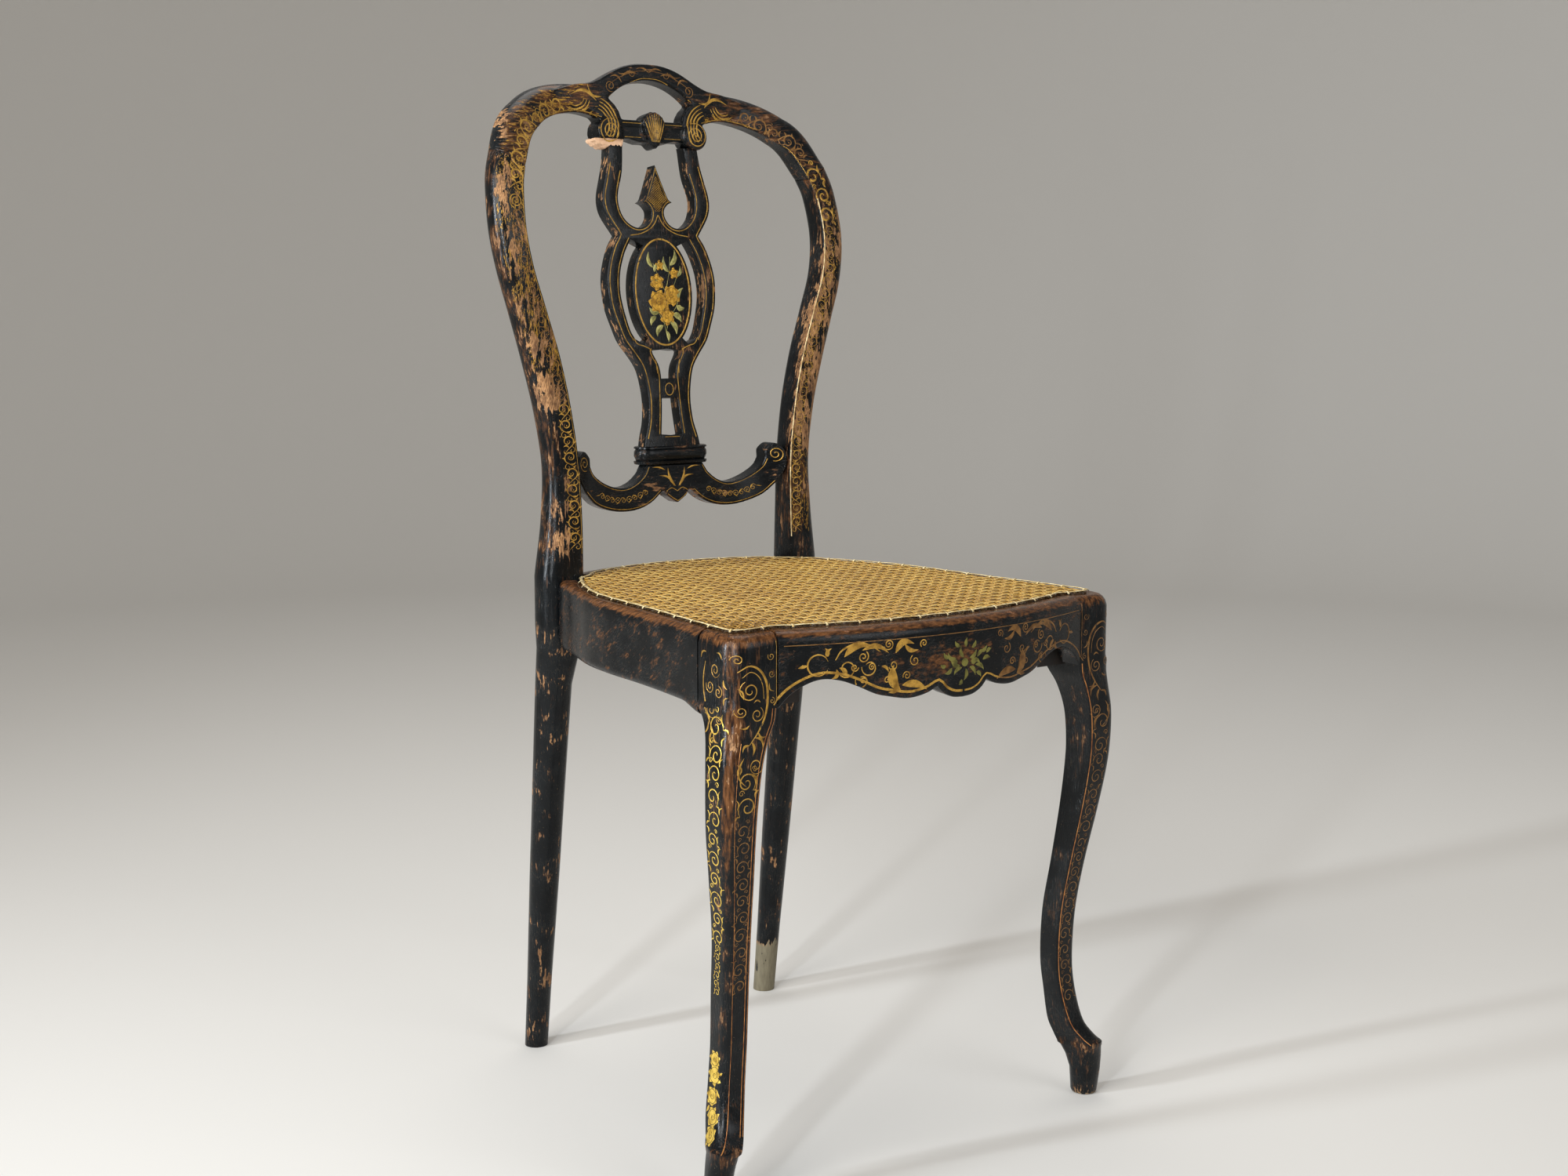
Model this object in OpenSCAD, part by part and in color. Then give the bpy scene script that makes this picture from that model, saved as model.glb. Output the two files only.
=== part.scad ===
// Balloon-back side chair with a cane seat, japanned black. Millimetres, +Z up, front towards -Y.
// All outlines are drawn from the back's own plane, which place() sets behind the origin.

/* [Back] */
// Distance of the back's plane behind the origin
back_y = 163.3; // [162.8:0.1:163.8]
// Thickness of the splat board
splat_t = 13; // [10:0.5:14]
// Thickness of the crest rail's pierced middle
crest_t = 17; // [15:0.5:20]
// Thickness of the cross rail
cross_t = 16; // [12:1:18]

/* [Seat] */
// Height of the seat frame's top
seat_h = 442; // [441:0.5:443]
// Depth of the side and back rails, top to bottom
rail_d = 61; // [54:1:61]
// Thickness of the rails below the ledge
apron_t = 16; // [14:1:18]
// Thickness of the woven cane
cane_t = 2; // [1.5:0.5:2.5]
// Distance between cane holes along the edge
cane_pitch = 12.5; // [11:0.5:16]
// Radius of a cane hole
hole_r = 2; // [1.5:0.25:2.25]

/* [Joinery] */
// Radius of the large dowels
dowel_r = 4; // [3:0.25:4]
// Length of a dowel
dowel_l = 34; // [24:1:34]
// Glue line round a dowel or tenon
glue = 0.1; // [0.05:0.05:0.2]

/* [Hidden] */
$fn = 48;

lacquer = "#17181a";
raw_wood = "#b98a5a";
cane_colour = "#c9a45a";

// ---------- curves and sweeps ----------

function knot(a, b, c, d, t) =
    0.5 * (2 * b + (c - a) * t + (2 * a - 5 * b + 4 * c - d) * t * t + (3 * b - a - 3 * c + d) * t * t * t);

// A smooth line through the points, with n steps from each to the next
function smooth(p, n) = concat(
    [for (i = [0:len(p) - 2]) for (k = [0:n - 1])
        knot(p[max(i - 1, 0)], p[i], p[i + 1], p[min(i + 2, len(p) - 1)], k / n)],
    [p[len(p) - 1]]);

function reversed(p) = [for (i = [len(p) - 1:-1:0]) p[i]];
function flipped(p) = [for (q = reversed(p)) [-q.x, q.y]];

// Half an outline, from the middle round to the middle again, closed by its mirror image
function both_sides(half) = concat(half, [for (q = flipped(half)) if (abs(q.x) > 0.01) q]);

function unit(v) = v / norm(v);

// A closed outline, drawn anticlockwise, moved inwards by d
function inset(p, d) = [for (i = [0:len(p) - 1])
    let (n = len(p), along = unit(p[(i + 1) % n] - p[(i + n - 1) % n]))
    p[i] + d * [-along.y, along.x]];

// A rounded rectangle w by d, with a radius for each corner and steps + 1 points on each
function rounded(w, d, radii, steps) = [for (c = [0:3]) for (k = [0:steps])
    let (r = radii[c],
        centre = [[r, r], [w - r, r], [w - r, d - r], [r, d - r]][c],
        turn = 180 + 90 * c + 90 * k / steps)
    centre + r * [cos(turn), sin(turn)]];

module skin(rings) {
    n = len(rings[0]);
    last = len(rings) - 1;
    sides = [for (i = [0:last - 1]) for (k = [0:n - 1])
        let (a = i * n + k, b = i * n + (k + 1) % n) each [[a, a + n, b], [b, a + n, b + n]]];
    start = [for (k = [0:n - 1]) k];
    finish = [for (k = [n - 1:-1:0]) last * n + k];
    polyhedron([for (r = rings) each r], concat([start, finish], sides), convexity = 8);
}

module place() {
    translate([0, back_y, 0]) children();
}

module left_side() {
    place() mirror([1, 0, 0]) children();
}

module both() {
    place() {
        children();
        mirror([1, 0, 0]) children();
    }
}

// An outline drawn on the leaning front of the back, t thick, its base line at height z
module on_back(y, z, lean, t) {
    translate([0, y, z]) rotate([90 - lean, 0, 0]) translate([0, 0, -t]) linear_extrude(t) children();
}

// ---------- posts: rear leg and stile in one length, and the crest's arms ----------

// Each row: inner front edge x, y, z, then width, depth and how round the section is
leg_rows = [
    [120.1, 35.5, 0, 21, 21, 1],
    [119.4, 27.1, 65, 22.5, 22.5, 1],
    [117.2, 12.8, 167, 27, 27, 1],
    [116.3, 3.2, 240, 29, 29, 1],
    [115.4, -4.9, 300, 31, 31, 1],
    [114.6, -11, 345, 32.5, 32.5, 1],
    [113.6, -20, 378, 36, 36, 0]];

stile_rows = [
    [113.6, -20, 443, 36, 36, 0],
    [113, -18.5, 490, 31, 31, 0],
    [114.5, -16.5, 540, 27.5, 28, 0],
    [121, -15, 590, 28, 28, 0],
    [131, -14.2, 635, 29, 28, 0],
    [143.8, -13.8, 676, 28, 28, 0],
    [154.4, -13, 710, 27, 28, 0],
    [158.8, -9, 743, 27.5, 28, 0],
    [156.5, -1.5, 777, 28, 28, 0],
    [151.5, 4.3, 795, 28.5, 28, 0]];

arm_rows = [
    [151.5, 4.3, 795, 28.5, 28, 0],
    [139, 15.5, 819, 29, 27.5, 0],
    [126.5, 24.6, 830.5, 28, 26, 0],
    [112.5, 33.5, 839, 27, 25, 0],
    [95.6, 39.8, 844.5, 26, 24, 0],
    [75, 41, 846.5, 25.5, 23, 0],
    [54, 40, 842.5, 27, 22, 0]];

joint_tangent = unit([-12, 0, 22]);

function post_radii(w, d, round_part) =
    let (m = min(w, d))
    [for (r = [1.5, 0.42 * m, 0.46 * m, 0.36 * m]) r + (m / 2 - r) * round_part];

// The back leans by this much for each millimetre of height
back_slope = tan(7);

function post_ring(row, tangent) =
    let (across = unit([tangent.z, 0, -tangent.x]), out = across + [0, back_slope * across.z, 0],
        section = rounded(row[3], row[4], post_radii(row[3], row[4], row[5]), 4))
    [for (s = section) [row.x, row.y, row.z] + s.x * out + [0, s.y, 0]];

function path_tangent(rows, i) =
    let (a = rows[max(i - 1, 0)], b = rows[min(i + 1, len(rows) - 1)])
    [b.x - a.x, 0, b.z - a.z];

module post() {
    upper = smooth(stile_rows, 2);
    last = len(upper) - 1;
    lower_rings = [for (r = leg_rows) post_ring(r, [0, 0, 1])];
    upper_rings = [for (i = [0:last])
        post_ring(upper[i], i == 0 ? [0, 0, 1] : i == last ? joint_tangent : path_tangent(upper, i))];
    skin(concat(lower_rings, upper_rings));
}

module crest_arm() {
    rows = smooth(arm_rows, 2);
    skin([for (i = [0:len(rows) - 1])
        post_ring(rows[i], i == 0 ? joint_tangent : path_tangent(rows, i))]);
}

module rear_leg() {
    difference() {
        post();
        crest_dowel(glue);
        cross_rail_dowel(glue);
        side_rail_back_dowels(glue);
        back_rail_dowel_pair(glue);
    }
}

module rear_leg_left() {
    color(lacquer) left_side() rear_leg();
}

module rear_leg_right() {
    color(lacquer) place() rear_leg();
}

// ---------- crest rail ----------

crest_z = 832;
crest_y = 38.1;
crest_lean = atan(back_slope);
volute = [46, 832];
volute_r = 12.5;
break_z = 825;
splat_top = 818;

function crest_up(z) = (z - crest_z) / cos(crest_lean);

// A round dome whose top and half width are given
function dome_r(half_w, rise) = (half_w * half_w + rise * rise) / (2 * rise);

module dome(half_w, foot_z, top_z, base_z) {
    r = dome_r(half_w, top_z - foot_z);
    reach = asin(half_w / r);
    polygon(concat([[half_w, crest_up(base_z)]],
        [for (k = [8:-1:-8]) [r * sin(reach * k / 8), crest_up(top_z) - r + r * cos(reach * k / 8)]],
        [[-half_w, crest_up(base_z)]]));
}

module volute_disc() {
    translate([volute.x, crest_up(volute.y)]) circle(volute_r);
}

module crest_middle() {
    difference() {
        dome(62, 873, 894.5, 837);
        difference() {
            dome(38, 862, 879.5, 842);
            volute_disc();
            mirror([1, 0]) volute_disc();
        }
    }
    translate([-volute.x, crest_up(826.5)]) square([2 * volute.x, 15.8]);
    volute_disc();
    difference() {
        mirror([1, 0]) volute_disc();
        translate([-80, crest_up(break_z) - 40]) square([60, 40]);
    }
}

// What is left of the broken curl: a raw stub on the left arm of the splat
module broken_stub() {
    polygon([[-63, crest_up(break_z)], [-57, crest_up(820)], [-51, crest_up(816)],
        [-33, crest_up(816)], [-31, crest_up(break_z)]]);
}

module shell_outline() {
    polygon(concat([for (t = [0:15:180]) [12.5 * cos(t), crest_up(840) + 11 * sin(t)]],
        [[-9, crest_up(830)], [0, crest_up(819)], [9, crest_up(830)]]));
}

module crest_rail() {
    shell_proud = 4;
    color(lacquer) place() difference() {
        union() {
            crest_arm();
            mirror([1, 0, 0]) crest_arm();
            on_back(crest_y, crest_z, crest_lean, crest_t) union() {
                crest_middle();
                broken_stub();
            }
            on_back(crest_y - shell_proud, crest_z, crest_lean, crest_t) shell_outline();
        }
        for (side = [-1, 1])
            translate([side * 46, crest_y, splat_top - 10]) cube([40, 60, 20], center = true);
        crest_dowel(glue);
        mirror([1, 0, 0]) crest_dowel(glue);
    }
}

// ---------- splat, shoe and cross rail ----------

splat_y = 8.6;
splat_z = 551;
splat_lean = 6.2;
tenon_d = 8;

function splat_up(z) = (z - splat_z) / cos(splat_lean);

oval = [32, 50.5];
oval_z = 690;

// Half of the splat's edge: spade tip, barb, hollow, arm, then down the outside to the foot
splat_edge = [
    [0, 804], [5, 791], [9, 781], [12.5, 773.5], [16.3, 771], [11, 768.5], [7, 763], [8, 756],
    [13, 750], [20, 747.5], [27, 748.5], [34, 753], [39, 760], [41.5, 770], [40.5, 780],
    [35.5, 797], [33, 821], [47, 821], [49.5, 805], [53.5, 790], [57, 777], [57.3, 767],
    [54, 757], [43, 741], [49.5, 731], [55, 717], [58, 703], [58, 690], [56, 675], [50.5, 659],
    [45, 646], [35, 633], [28, 622], [24.3, 608], [22.7, 592], [24.3, 574], [28.5, 559], [31, 551]];

side_slot_outside = [[31, 737], [38.5, 724], [44, 708], [45.5, 692], [43.5, 677], [38, 657], [33, 648]];

lower_slot = [[0, 639], [9, 638], [16, 637], [10, 625], [8, 615], [8.2, 603], [9.2, 585], [11.4, 562], [0, 561]];

function raised(p) = [for (q = p) [q.x, splat_up(q.y)]];

module side_slot() {
    rim = [for (t = [55:-10:-55]) [oval.x * cos(t), oval_z + oval.y * sin(t)]];
    polygon(raised(concat(side_slot_outside, [[24, 644]], reversed(rim))));
}

module splat_outline() {
    tenon = [[31, splat_z - tenon_d]];
    half = concat(splat_edge, tenon);
    difference() {
        polygon(raised(both_sides(half)));
        side_slot();
        mirror([1, 0]) side_slot();
        difference() {
            polygon(raised(both_sides(lower_slot)));
            translate([0, splat_up(602.5)]) square([20, 14], center = true);
        }
    }
}

module back_splat() {
    color(lacquer) place() difference() {
        on_back(splat_y, splat_z, splat_lean, splat_t) splat_outline();
        translate([0, crest_y, splat_top + 10]) cube([140, 60, 20], center = true);
    }
}

shoe_proud = 7;
shoe_half = 37;

module splat_shoe() {
    d = splat_t + shoe_proud + 3;
    color(lacquer) place() difference() {
        translate([0, splat_y - shoe_proud + d / 2, 535]) linear_extrude(16) union() {
            square([2 * shoe_half - d, d], center = true);
            for (side = [-1, 1]) translate([side * (shoe_half - d / 2), 0]) circle(d / 2);
        }
        on_back(splat_y - glue, splat_z, splat_lean, splat_t + 2 * glue)
            translate([-31 - glue, -tenon_d - glue]) square([62 + 2 * glue, 3 * tenon_d]);
    }
}

// Half of the cross rail's edge: top under the shoe, out over the curl, back to the heart drop
cross_edge = [
    [0, 535], [30, 535], [35, 527], [44, 520], [55, 516], [67, 517], [80, 522], [91, 529.5],
    [95.5, 537], [96, 545], [103, 551], [110.5, 547], [113.5, 540], [112.5, 528], [104, 514],
    [91, 503], [73, 496.5], [56, 494.5], [40, 496.5], [27, 502], [17, 510], [13.5, 511], [0, 499.6]];

module cross_plan() {
    bend_from = 56;
    bend_r = 98;
    front = smooth([for (x = [0, 30, bend_from]) [x, 0]], 1);
    bend = [for (x = [66:10:116]) [x, -(bend_r - sqrt(bend_r * bend_r - (x - bend_from) * (x - bend_from)))]];
    edge = concat(front, bend);
    polygon(both_sides(concat(edge, [for (q = reversed(edge)) q + [0, cross_t]])));
}

module cross_rail() {
    color(lacquer) place() difference() {
        intersection() {
            translate([0, 2.7, 480]) linear_extrude(80) cross_plan();
            translate([0, 40, 0]) rotate([90, 0, 0]) linear_extrude(100) polygon(both_sides(cross_edge));
            translate([-113.4, -100, 400]) cube([226.8, 200, 200]);
        }
        cross_rail_dowel(glue);
        mirror([1, 0, 0]) cross_rail_dowel(glue);
    }
}

// ---------- seat frame ----------

rim_drop = 1.5;
ledge_t = 20;
ledge_w = 14;
ledge_top = seat_h - rim_drop;
ledge_bottom = ledge_top - ledge_t;
rail_bottom = seat_h - rail_d;
front_joint_x = 155;
side_joint_y = -313;
post_x = 113.6;
post_y = -20;
post_w = 36;

// Bowed lines across the front and the back, through y_mid in the middle
function front_bow(x, y_mid, r) = y_mid + r - sqrt(r * r - x * x);
function back_bow(x, y_mid, r) = y_mid - r + sqrt(r * r - x * x);

// Outer outline, from the middle of the front to the middle of the back
outer_half = concat(
    [for (x = [0:15.5:155]) [x, front_bow(x, -391, 415)]],
    smooth([[172, -359.5], [186, -354], [194.5, -341], [196.5, -324], [193.5, -300], [188.5, -262],
        [184.5, -215], [181.5, -165], [174.5, -123], [161, -82], [151.5, -55], [146.5, -36], [139.5, -20]], 3),
    [for (x = [105:-15:0]) [x, back_bow(x, 40, 227)]]);

// The visible wood ends at this line, and the cane and its binding begin
rim_half = concat(
    [for (x = [0:15:150]) [x, front_bow(x, -372, 396)]],
    smooth([[163, -336], [172, -322], [175.5, -300], [172.5, -262], [167.5, -222], [164, -170],
        [159, -120], [150, -85], [140, -58], [128, -34], [120, -24.5], [110.5, -19], [100, -6]], 3),
    [for (x = [90:-15:0]) [x, back_bow(x, 22, 207)]]);

outer = both_sides(outer_half);
rim = both_sides(rim_half);
hole_line = inset(rim, 6.5);
ledge_edge = inset(rim, ledge_w);

module frame_slab(z0, z1, inner) {
    translate([0, 0, z0]) linear_extrude(z1 - z0) difference() {
        polygon(outer);
        polygon(inner);
    }
}

module seat_ring() {
    frame_slab(rail_bottom, ledge_bottom, inset(outer, apron_t));
    frame_slab(ledge_bottom, ledge_top, ledge_edge);
    frame_slab(ledge_top, seat_h, rim);
}

// Space taken by the two posts where they pass the seat frame
module post_space() {
    for (side = [-1, 1])
        translate([side * (post_x + post_w / 2), post_y + 40, seat_h - 50])
            cube([post_w, 80, 200], center = true);
}

module box_between(low, high) {
    translate(low) cube(high - low);
}

// Running length of a closed line up to each of its points
function lengths(p, i = 0, sum = 0) = i > len(p) ? [] :
    concat([sum], lengths(p, i + 1, sum + norm(p[(i + 1) % len(p)] - p[i % len(p)])));

function at_length(p, run, s) =
    let (i = max([for (k = [0:len(p) - 1]) if (run[k] <= s) k]),
        f = (s - run[i]) / (run[i + 1] - run[i]))
    p[i] + f * (p[(i + 1) % len(p)] - p[i]);

hole_run = lengths(hole_line);
hole_count = floor(hole_run[len(hole_line)] / cane_pitch);
hole_places = [for (k = [0:hole_count - 1])
    at_length(hole_line, hole_run, k * hole_run[len(hole_line)] / hole_count)];

module cane_holes() {
    for (h = hole_places)
        translate([h.x, h.y, ledge_bottom - 1]) cylinder(ledge_t + 2, r = hole_r, $fn = 16);
}

// Half of the apron's lower edge, with a drop in the middle and a lobe on each side
apron_edge = [[0, 381], [10, 382], [19, 386], [25, 392], [34, 388], [45, 385.7], [55, 385.5], [68, 388],
    [80, 391], [95, 398], [108, 403], [122, 405], [134, 402], [146, 396], [156, 389]];

module apron_cut() {
    below = [[156, 350], [0, 350]];
    translate([0, -300, 0]) rotate([90, 0, 0]) linear_extrude(120)
        polygon(both_sides(concat(smooth(apron_edge, 2), below)));
}

module seat_rail_front() {
    color(lacquer) place() difference() {
        intersection() {
            seat_ring();
            box_between([-front_joint_x, -420, 300], [front_joint_x, -328, 500]);
        }
        apron_cut();
        cane_holes();
        front_dowel_pair(glue);
        mirror([1, 0, 0]) front_dowel_pair(glue);
    }
}

module seat_rail_back() {
    color(lacquer) place() difference() {
        intersection() {
            seat_ring();
            box_between([-post_x, -60, 300], [post_x, 80, 500]);
        }
        cane_holes();
        back_rail_dowel_pair(glue);
        mirror([1, 0, 0]) back_rail_dowel_pair(glue);
    }
}

module side_rail() {
    difference() {
        intersection() {
            seat_ring();
            box_between([post_x, side_joint_y, 300], [260, 60, 500]);
        }
        post_space();
        cane_holes();
        side_rail_front_dowels(glue);
        side_rail_back_dowels(glue);
    }
}

module seat_rail_left() {
    color(lacquer) left_side() side_rail();
}

module seat_rail_right() {
    color(lacquer) place() side_rail();
}

// ---------- front legs ----------

// Each row: inner front edge x, y, z, then width and radius of the outer front corner, how much deeper than
// wide the section is, and how far its back leans inwards
cabriole_rows = [
    [156.5, -361, 386, 40, 17, 0, 0], [157.5, -361, 378, 39, 17, 0, 0], [163.5, -361, 363, 34.5, 14, 0, 0],
    [170, -361, 336, 31, 11, 0, 0], [171, -358, 299, 28.5, 9, 0, 0], [169, -351, 255, 25.5, 8, 0, 0],
    [165.7, -342.6, 209, 22.5, 7, 0, 0], [162.6, -335.3, 151, 22, 6, 0, 0], [163.3, -334, 119, 21.5, 6, 0, 0],
    [166.3, -336, 93, 21.5, 7, 0.5, 0], [171.6, -342, 67.5, 21.7, 9, 4.3, 2], [178, -350, 56, 23, 12, 6, 6],
    [183, -355.5, 49, 25, 15, 6, 10]];

pad_top = [184, -354.5, 45, 23.5, 14, 6.5, 9.5];
pad_middle = [185, -351.5, 24, 22.8, 11.4, 1.7, 4.4];
pad_foot = [186, -347.5, 0, 22, 10.5, 0, 0];

function leg_ring(row, back_r, inner_r = 2) =
    let (deep = row[3] + row[5], section = rounded(row[3], deep, [inner_r, row[4], back_r, inner_r], 4))
    [for (s = section) [row.x + s.x - row[6] * s.y / deep, row.y + s.y, row.z]];

module front_leg() {
    difference() {
        union() {
            skin(reversed(concat([for (r = smooth(cabriole_rows, 2)) leg_ring(r, 3)],
                [leg_ring(pad_top, 8, 5), leg_ring(pad_middle, 11, 9), leg_ring(pad_foot, 10.5, 10.5)])));
            intersection() {
                union() {
                    frame_slab(rail_bottom, ledge_top, ledge_edge);
                    frame_slab(ledge_top, seat_h, rim);
                }
                box_between([front_joint_x, -420, 300], [260, side_joint_y, 500]);
            }
        }
        cane_holes();
        front_dowel_pair(glue);
        side_rail_front_dowels(glue);
    }
}

module front_leg_left() {
    color(lacquer) left_side() front_leg();
}

module front_leg_right() {
    color(lacquer) place() front_leg();
}

// ---------- cane ----------

module cane_panel() {
    color(cane_colour) place() translate([0, 0, ledge_top]) linear_extrude(cane_t)
        polygon(inset(rim, 0.4));
}

module cane_binding() {
    binding_t = 1.5;
    binding_w = 5;
    color(cane_colour) place() translate([0, 0, ledge_top + cane_t]) linear_extrude(binding_t)
        difference() {
            polygon(inset(rim, 6.5 - binding_w / 2));
            polygon(inset(rim, 6.5 + binding_w / 2));
        }
}

module cane_pegs() {
    peg_l = 14;
    color(raw_wood) place() for (h = hole_places)
        translate([h.x, h.y, ledge_top - peg_l]) cylinder(peg_l, r = hole_r - glue, $fn = 16);
}

// ---------- dowels and blocks ----------

// Dowels along X and Y, centred where two pieces meet
module dowel_x(at, extra, length = dowel_l) {
    translate(at) rotate([0, 90, 0]) cylinder(length + 2 * extra, r = dowel_r + extra, center = true);
}

module dowel_y(at, extra) {
    translate(at) rotate([90, 0, 0]) cylinder(dowel_l + 2 * extra, r = dowel_r + extra, center = true);
}

upper_dowel_z = 428;
lower_dowel_z = 412;

module front_dowel_pair(extra) {
    for (z = [lower_dowel_z, upper_dowel_z]) dowel_x([front_joint_x, -352, z], extra);
}

module side_rail_front_dowels(extra) {
    for (z = [rail_bottom + 14, upper_dowel_z]) dowel_y([184.5, side_joint_y, z], extra);
}

module side_rail_back_dowels(extra) {
    for (z = [rail_bottom + 14, upper_dowel_z]) dowel_y([130, post_y, z], extra);
}

module back_rail_dowel_pair(extra) {
    for (z = [rail_bottom + 14, upper_dowel_z]) dowel_x([post_x, 3, z], extra, 0.75 * dowel_l);
}

module crest_dowel(extra) {
    row = stile_rows[len(stile_rows) - 1];
    out = unit([joint_tangent.z, 0, -joint_tangent.x]);
    centre = [row.x, row.y, row.z] + 0.47 * row[3] * out + [0, 0.48 * row[4], 0];
    tilt = atan2(joint_tangent.x, joint_tangent.z);
    translate(centre) rotate([0, tilt, 0])
        cylinder(dowel_l + 2 * extra, r = dowel_r + extra, center = true);
}

module cross_rail_dowel(extra) {
    translate([post_x - 0.2, -6, 537]) rotate([0, 90, 0])
        cylinder(18 + 2 * extra, r = 2.5 + extra, center = true);
}

module crest_dowels() {
    color(raw_wood) both() crest_dowel(0);
}

module cross_rail_dowels() {
    color(raw_wood) both() cross_rail_dowel(0);
}

module front_rail_dowels() {
    color(raw_wood) both() front_dowel_pair(0);
}

module side_rail_dowels() {
    color(raw_wood) both() {
        side_rail_front_dowels(0);
        side_rail_back_dowels(0);
    }
}

module back_rail_dowels() {
    color(raw_wood) both() back_rail_dowel_pair(0);
}

module corner_block(corners) {
    translate([0, 0, rail_bottom + 3]) linear_extrude(ledge_bottom - rail_bottom - 3) polygon(corners);
}

module corner_blocks_front() {
    color(raw_wood) both() corner_block([[155, -344], [155, -312], [123, -344]]);
}

module corner_blocks_back() {
    color(raw_wood) both() corner_block([[113.6, -16.9], [95.5, 1.1], [86, -12], [104, -32], [113.6, -32]]);
}

rear_leg_left();
rear_leg_right();
crest_rail();
back_splat();
splat_shoe();
cross_rail();
seat_rail_front();
seat_rail_back();
seat_rail_left();
seat_rail_right();
front_leg_left();
front_leg_right();
cane_panel();
cane_binding();
cane_pegs();
crest_dowels();
cross_rail_dowels();
front_rail_dowels();
side_rail_dowels();
back_rail_dowels();
corner_blocks_front();
corner_blocks_back();
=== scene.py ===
import math
import random

import bmesh
import bpy
import numpy as np
from mathutils import Matrix, Vector, noise
from mathutils.bvhtree import BVHTree


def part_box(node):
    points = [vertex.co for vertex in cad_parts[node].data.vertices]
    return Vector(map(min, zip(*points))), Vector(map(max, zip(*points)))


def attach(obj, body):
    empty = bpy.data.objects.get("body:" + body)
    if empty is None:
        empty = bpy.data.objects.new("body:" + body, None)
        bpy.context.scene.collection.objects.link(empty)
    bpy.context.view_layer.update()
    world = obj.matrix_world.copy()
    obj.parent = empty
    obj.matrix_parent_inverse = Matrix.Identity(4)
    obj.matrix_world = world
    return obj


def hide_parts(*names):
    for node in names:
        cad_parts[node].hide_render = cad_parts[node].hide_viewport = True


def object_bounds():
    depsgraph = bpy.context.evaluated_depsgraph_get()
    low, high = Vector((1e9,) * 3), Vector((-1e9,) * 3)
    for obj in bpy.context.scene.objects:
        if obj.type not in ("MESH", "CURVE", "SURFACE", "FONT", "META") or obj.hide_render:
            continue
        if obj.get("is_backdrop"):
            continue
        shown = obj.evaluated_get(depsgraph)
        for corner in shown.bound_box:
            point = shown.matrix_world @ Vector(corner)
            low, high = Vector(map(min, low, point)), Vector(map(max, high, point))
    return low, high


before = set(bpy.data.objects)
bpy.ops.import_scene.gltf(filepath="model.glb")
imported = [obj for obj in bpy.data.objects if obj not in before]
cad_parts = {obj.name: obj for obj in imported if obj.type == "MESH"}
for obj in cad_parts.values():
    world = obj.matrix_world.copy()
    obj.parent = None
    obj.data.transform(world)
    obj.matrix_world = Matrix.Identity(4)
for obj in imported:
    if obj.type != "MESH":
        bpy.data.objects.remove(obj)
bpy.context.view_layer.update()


# ---------- rear legs and back stiles ----------
# Each rear leg and its back stile are one length of beech, sawn to a curve and rounded, with a sharp inner front
# edge. The seat rails and the crest rail are dowelled to it, and it is japanned black, worn brown and down to the
# wood. Outlines are in millimetres from the back's own plane, as on a joiner's drawing.

MM = 0.001
FRONT_BOW_Y = -391
BACK_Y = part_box("seat_rail_front")[0][1] / MM - FRONT_BOW_Y
LEG_ROWS = [(120.1, 35.5, 0, 21, 21, 1), (119.4, 27.1, 65, 22.5, 22.5, 1), (117.2, 12.8, 167, 27, 27, 1),
            (116.3, 3.2, 240, 29, 29, 1), (115.4, -4.9, 300, 31, 31, 1), (114.6, -11, 345, 32.5, 32.5, 1),
            (113.6, -19, 378, 35, 35, 0.5), (113.6, -20, 400, 36, 36, 0), (113.6, -20, 443, 36, 36, 0)]
STILE_ROWS = [(113.6, -20, 443, 36, 36, 0), (113, -18.5, 490, 31, 31, 0), (114.5, -16.5, 540, 27.5, 28, 0),
              (121, -15, 590, 28, 28, 0), (131, -14.2, 635, 29, 28, 0), (143.8, -13.8, 676, 28, 28, 0),
              (154.4, -13, 710, 27, 28, 0), (158.8, -9, 743, 27.5, 28, 0), (156.5, -1.5, 777, 28, 28, 0),
              (151.5, 4.3, 795, 28.5, 28, 0)]
SLOPE = math.tan(math.radians(7))
JOINT_Z = 795
JOINT_WAY = np.array([-0.479, 0.878])


def smooth(points, steps):
    """A curve through the points, with this many steps from each to the next."""
    p = np.array(points, float)
    p = np.vstack([2 * p[0] - p[1], p, 2 * p[-1] - p[-2]])
    t = (np.arange(steps) / steps)[:, None]
    line = [0.5 * (2 * b + (c - a) * t + (2 * a - 5 * b + 4 * c - d) * t ** 2 + (3 * b - a - 3 * c + d) * t ** 3)
            for a, b, c, d in zip(p, p[1:], p[2:], p[3:])]
    return np.vstack(line + [p[-2][None]])


def arc(cx, cy, rx, ry, start, end, steps):
    turn = np.radians(np.linspace(start, end, steps + 1))
    return np.stack([cx + rx * np.cos(turn), cy + ry * np.sin(turn)], axis=1)


def rounded(w, d, radii, steps):
    """A rectangle w by d from its inner front corner, with a radius for each corner."""
    ring = []
    for c, r in enumerate(radii):
        centre = [(r, r), (w - r, r), (w - r, d - r), (r, d - r)][c]
        ring.extend(arc(*centre, r, r, 180 + 90 * c, 270 + 90 * c, steps))
    return np.array(ring)


def ramp(x, low, high):
    t = np.clip((np.asarray(x, float) - low) / (high - low), 0, 1)
    return t * t * (3 - 2 * t)


def solid(name, verts, faces, flat=False):
    """A mesh object from millimetre points."""
    mesh = bpy.data.meshes.new(name)
    points = (np.array(verts, float) + (0, BACK_Y, 0)) * MM
    mesh.from_pydata(points.tolist(), [], [tuple(map(int, f)) for f in faces])
    mesh.validate()
    if not flat:
        mesh.shade_smooth()
        mesh.set_sharp_from_angle(angle=math.radians(38))
    obj = bpy.data.objects.new(name, mesh)
    bpy.context.scene.collection.objects.link(obj)
    return obj


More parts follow.
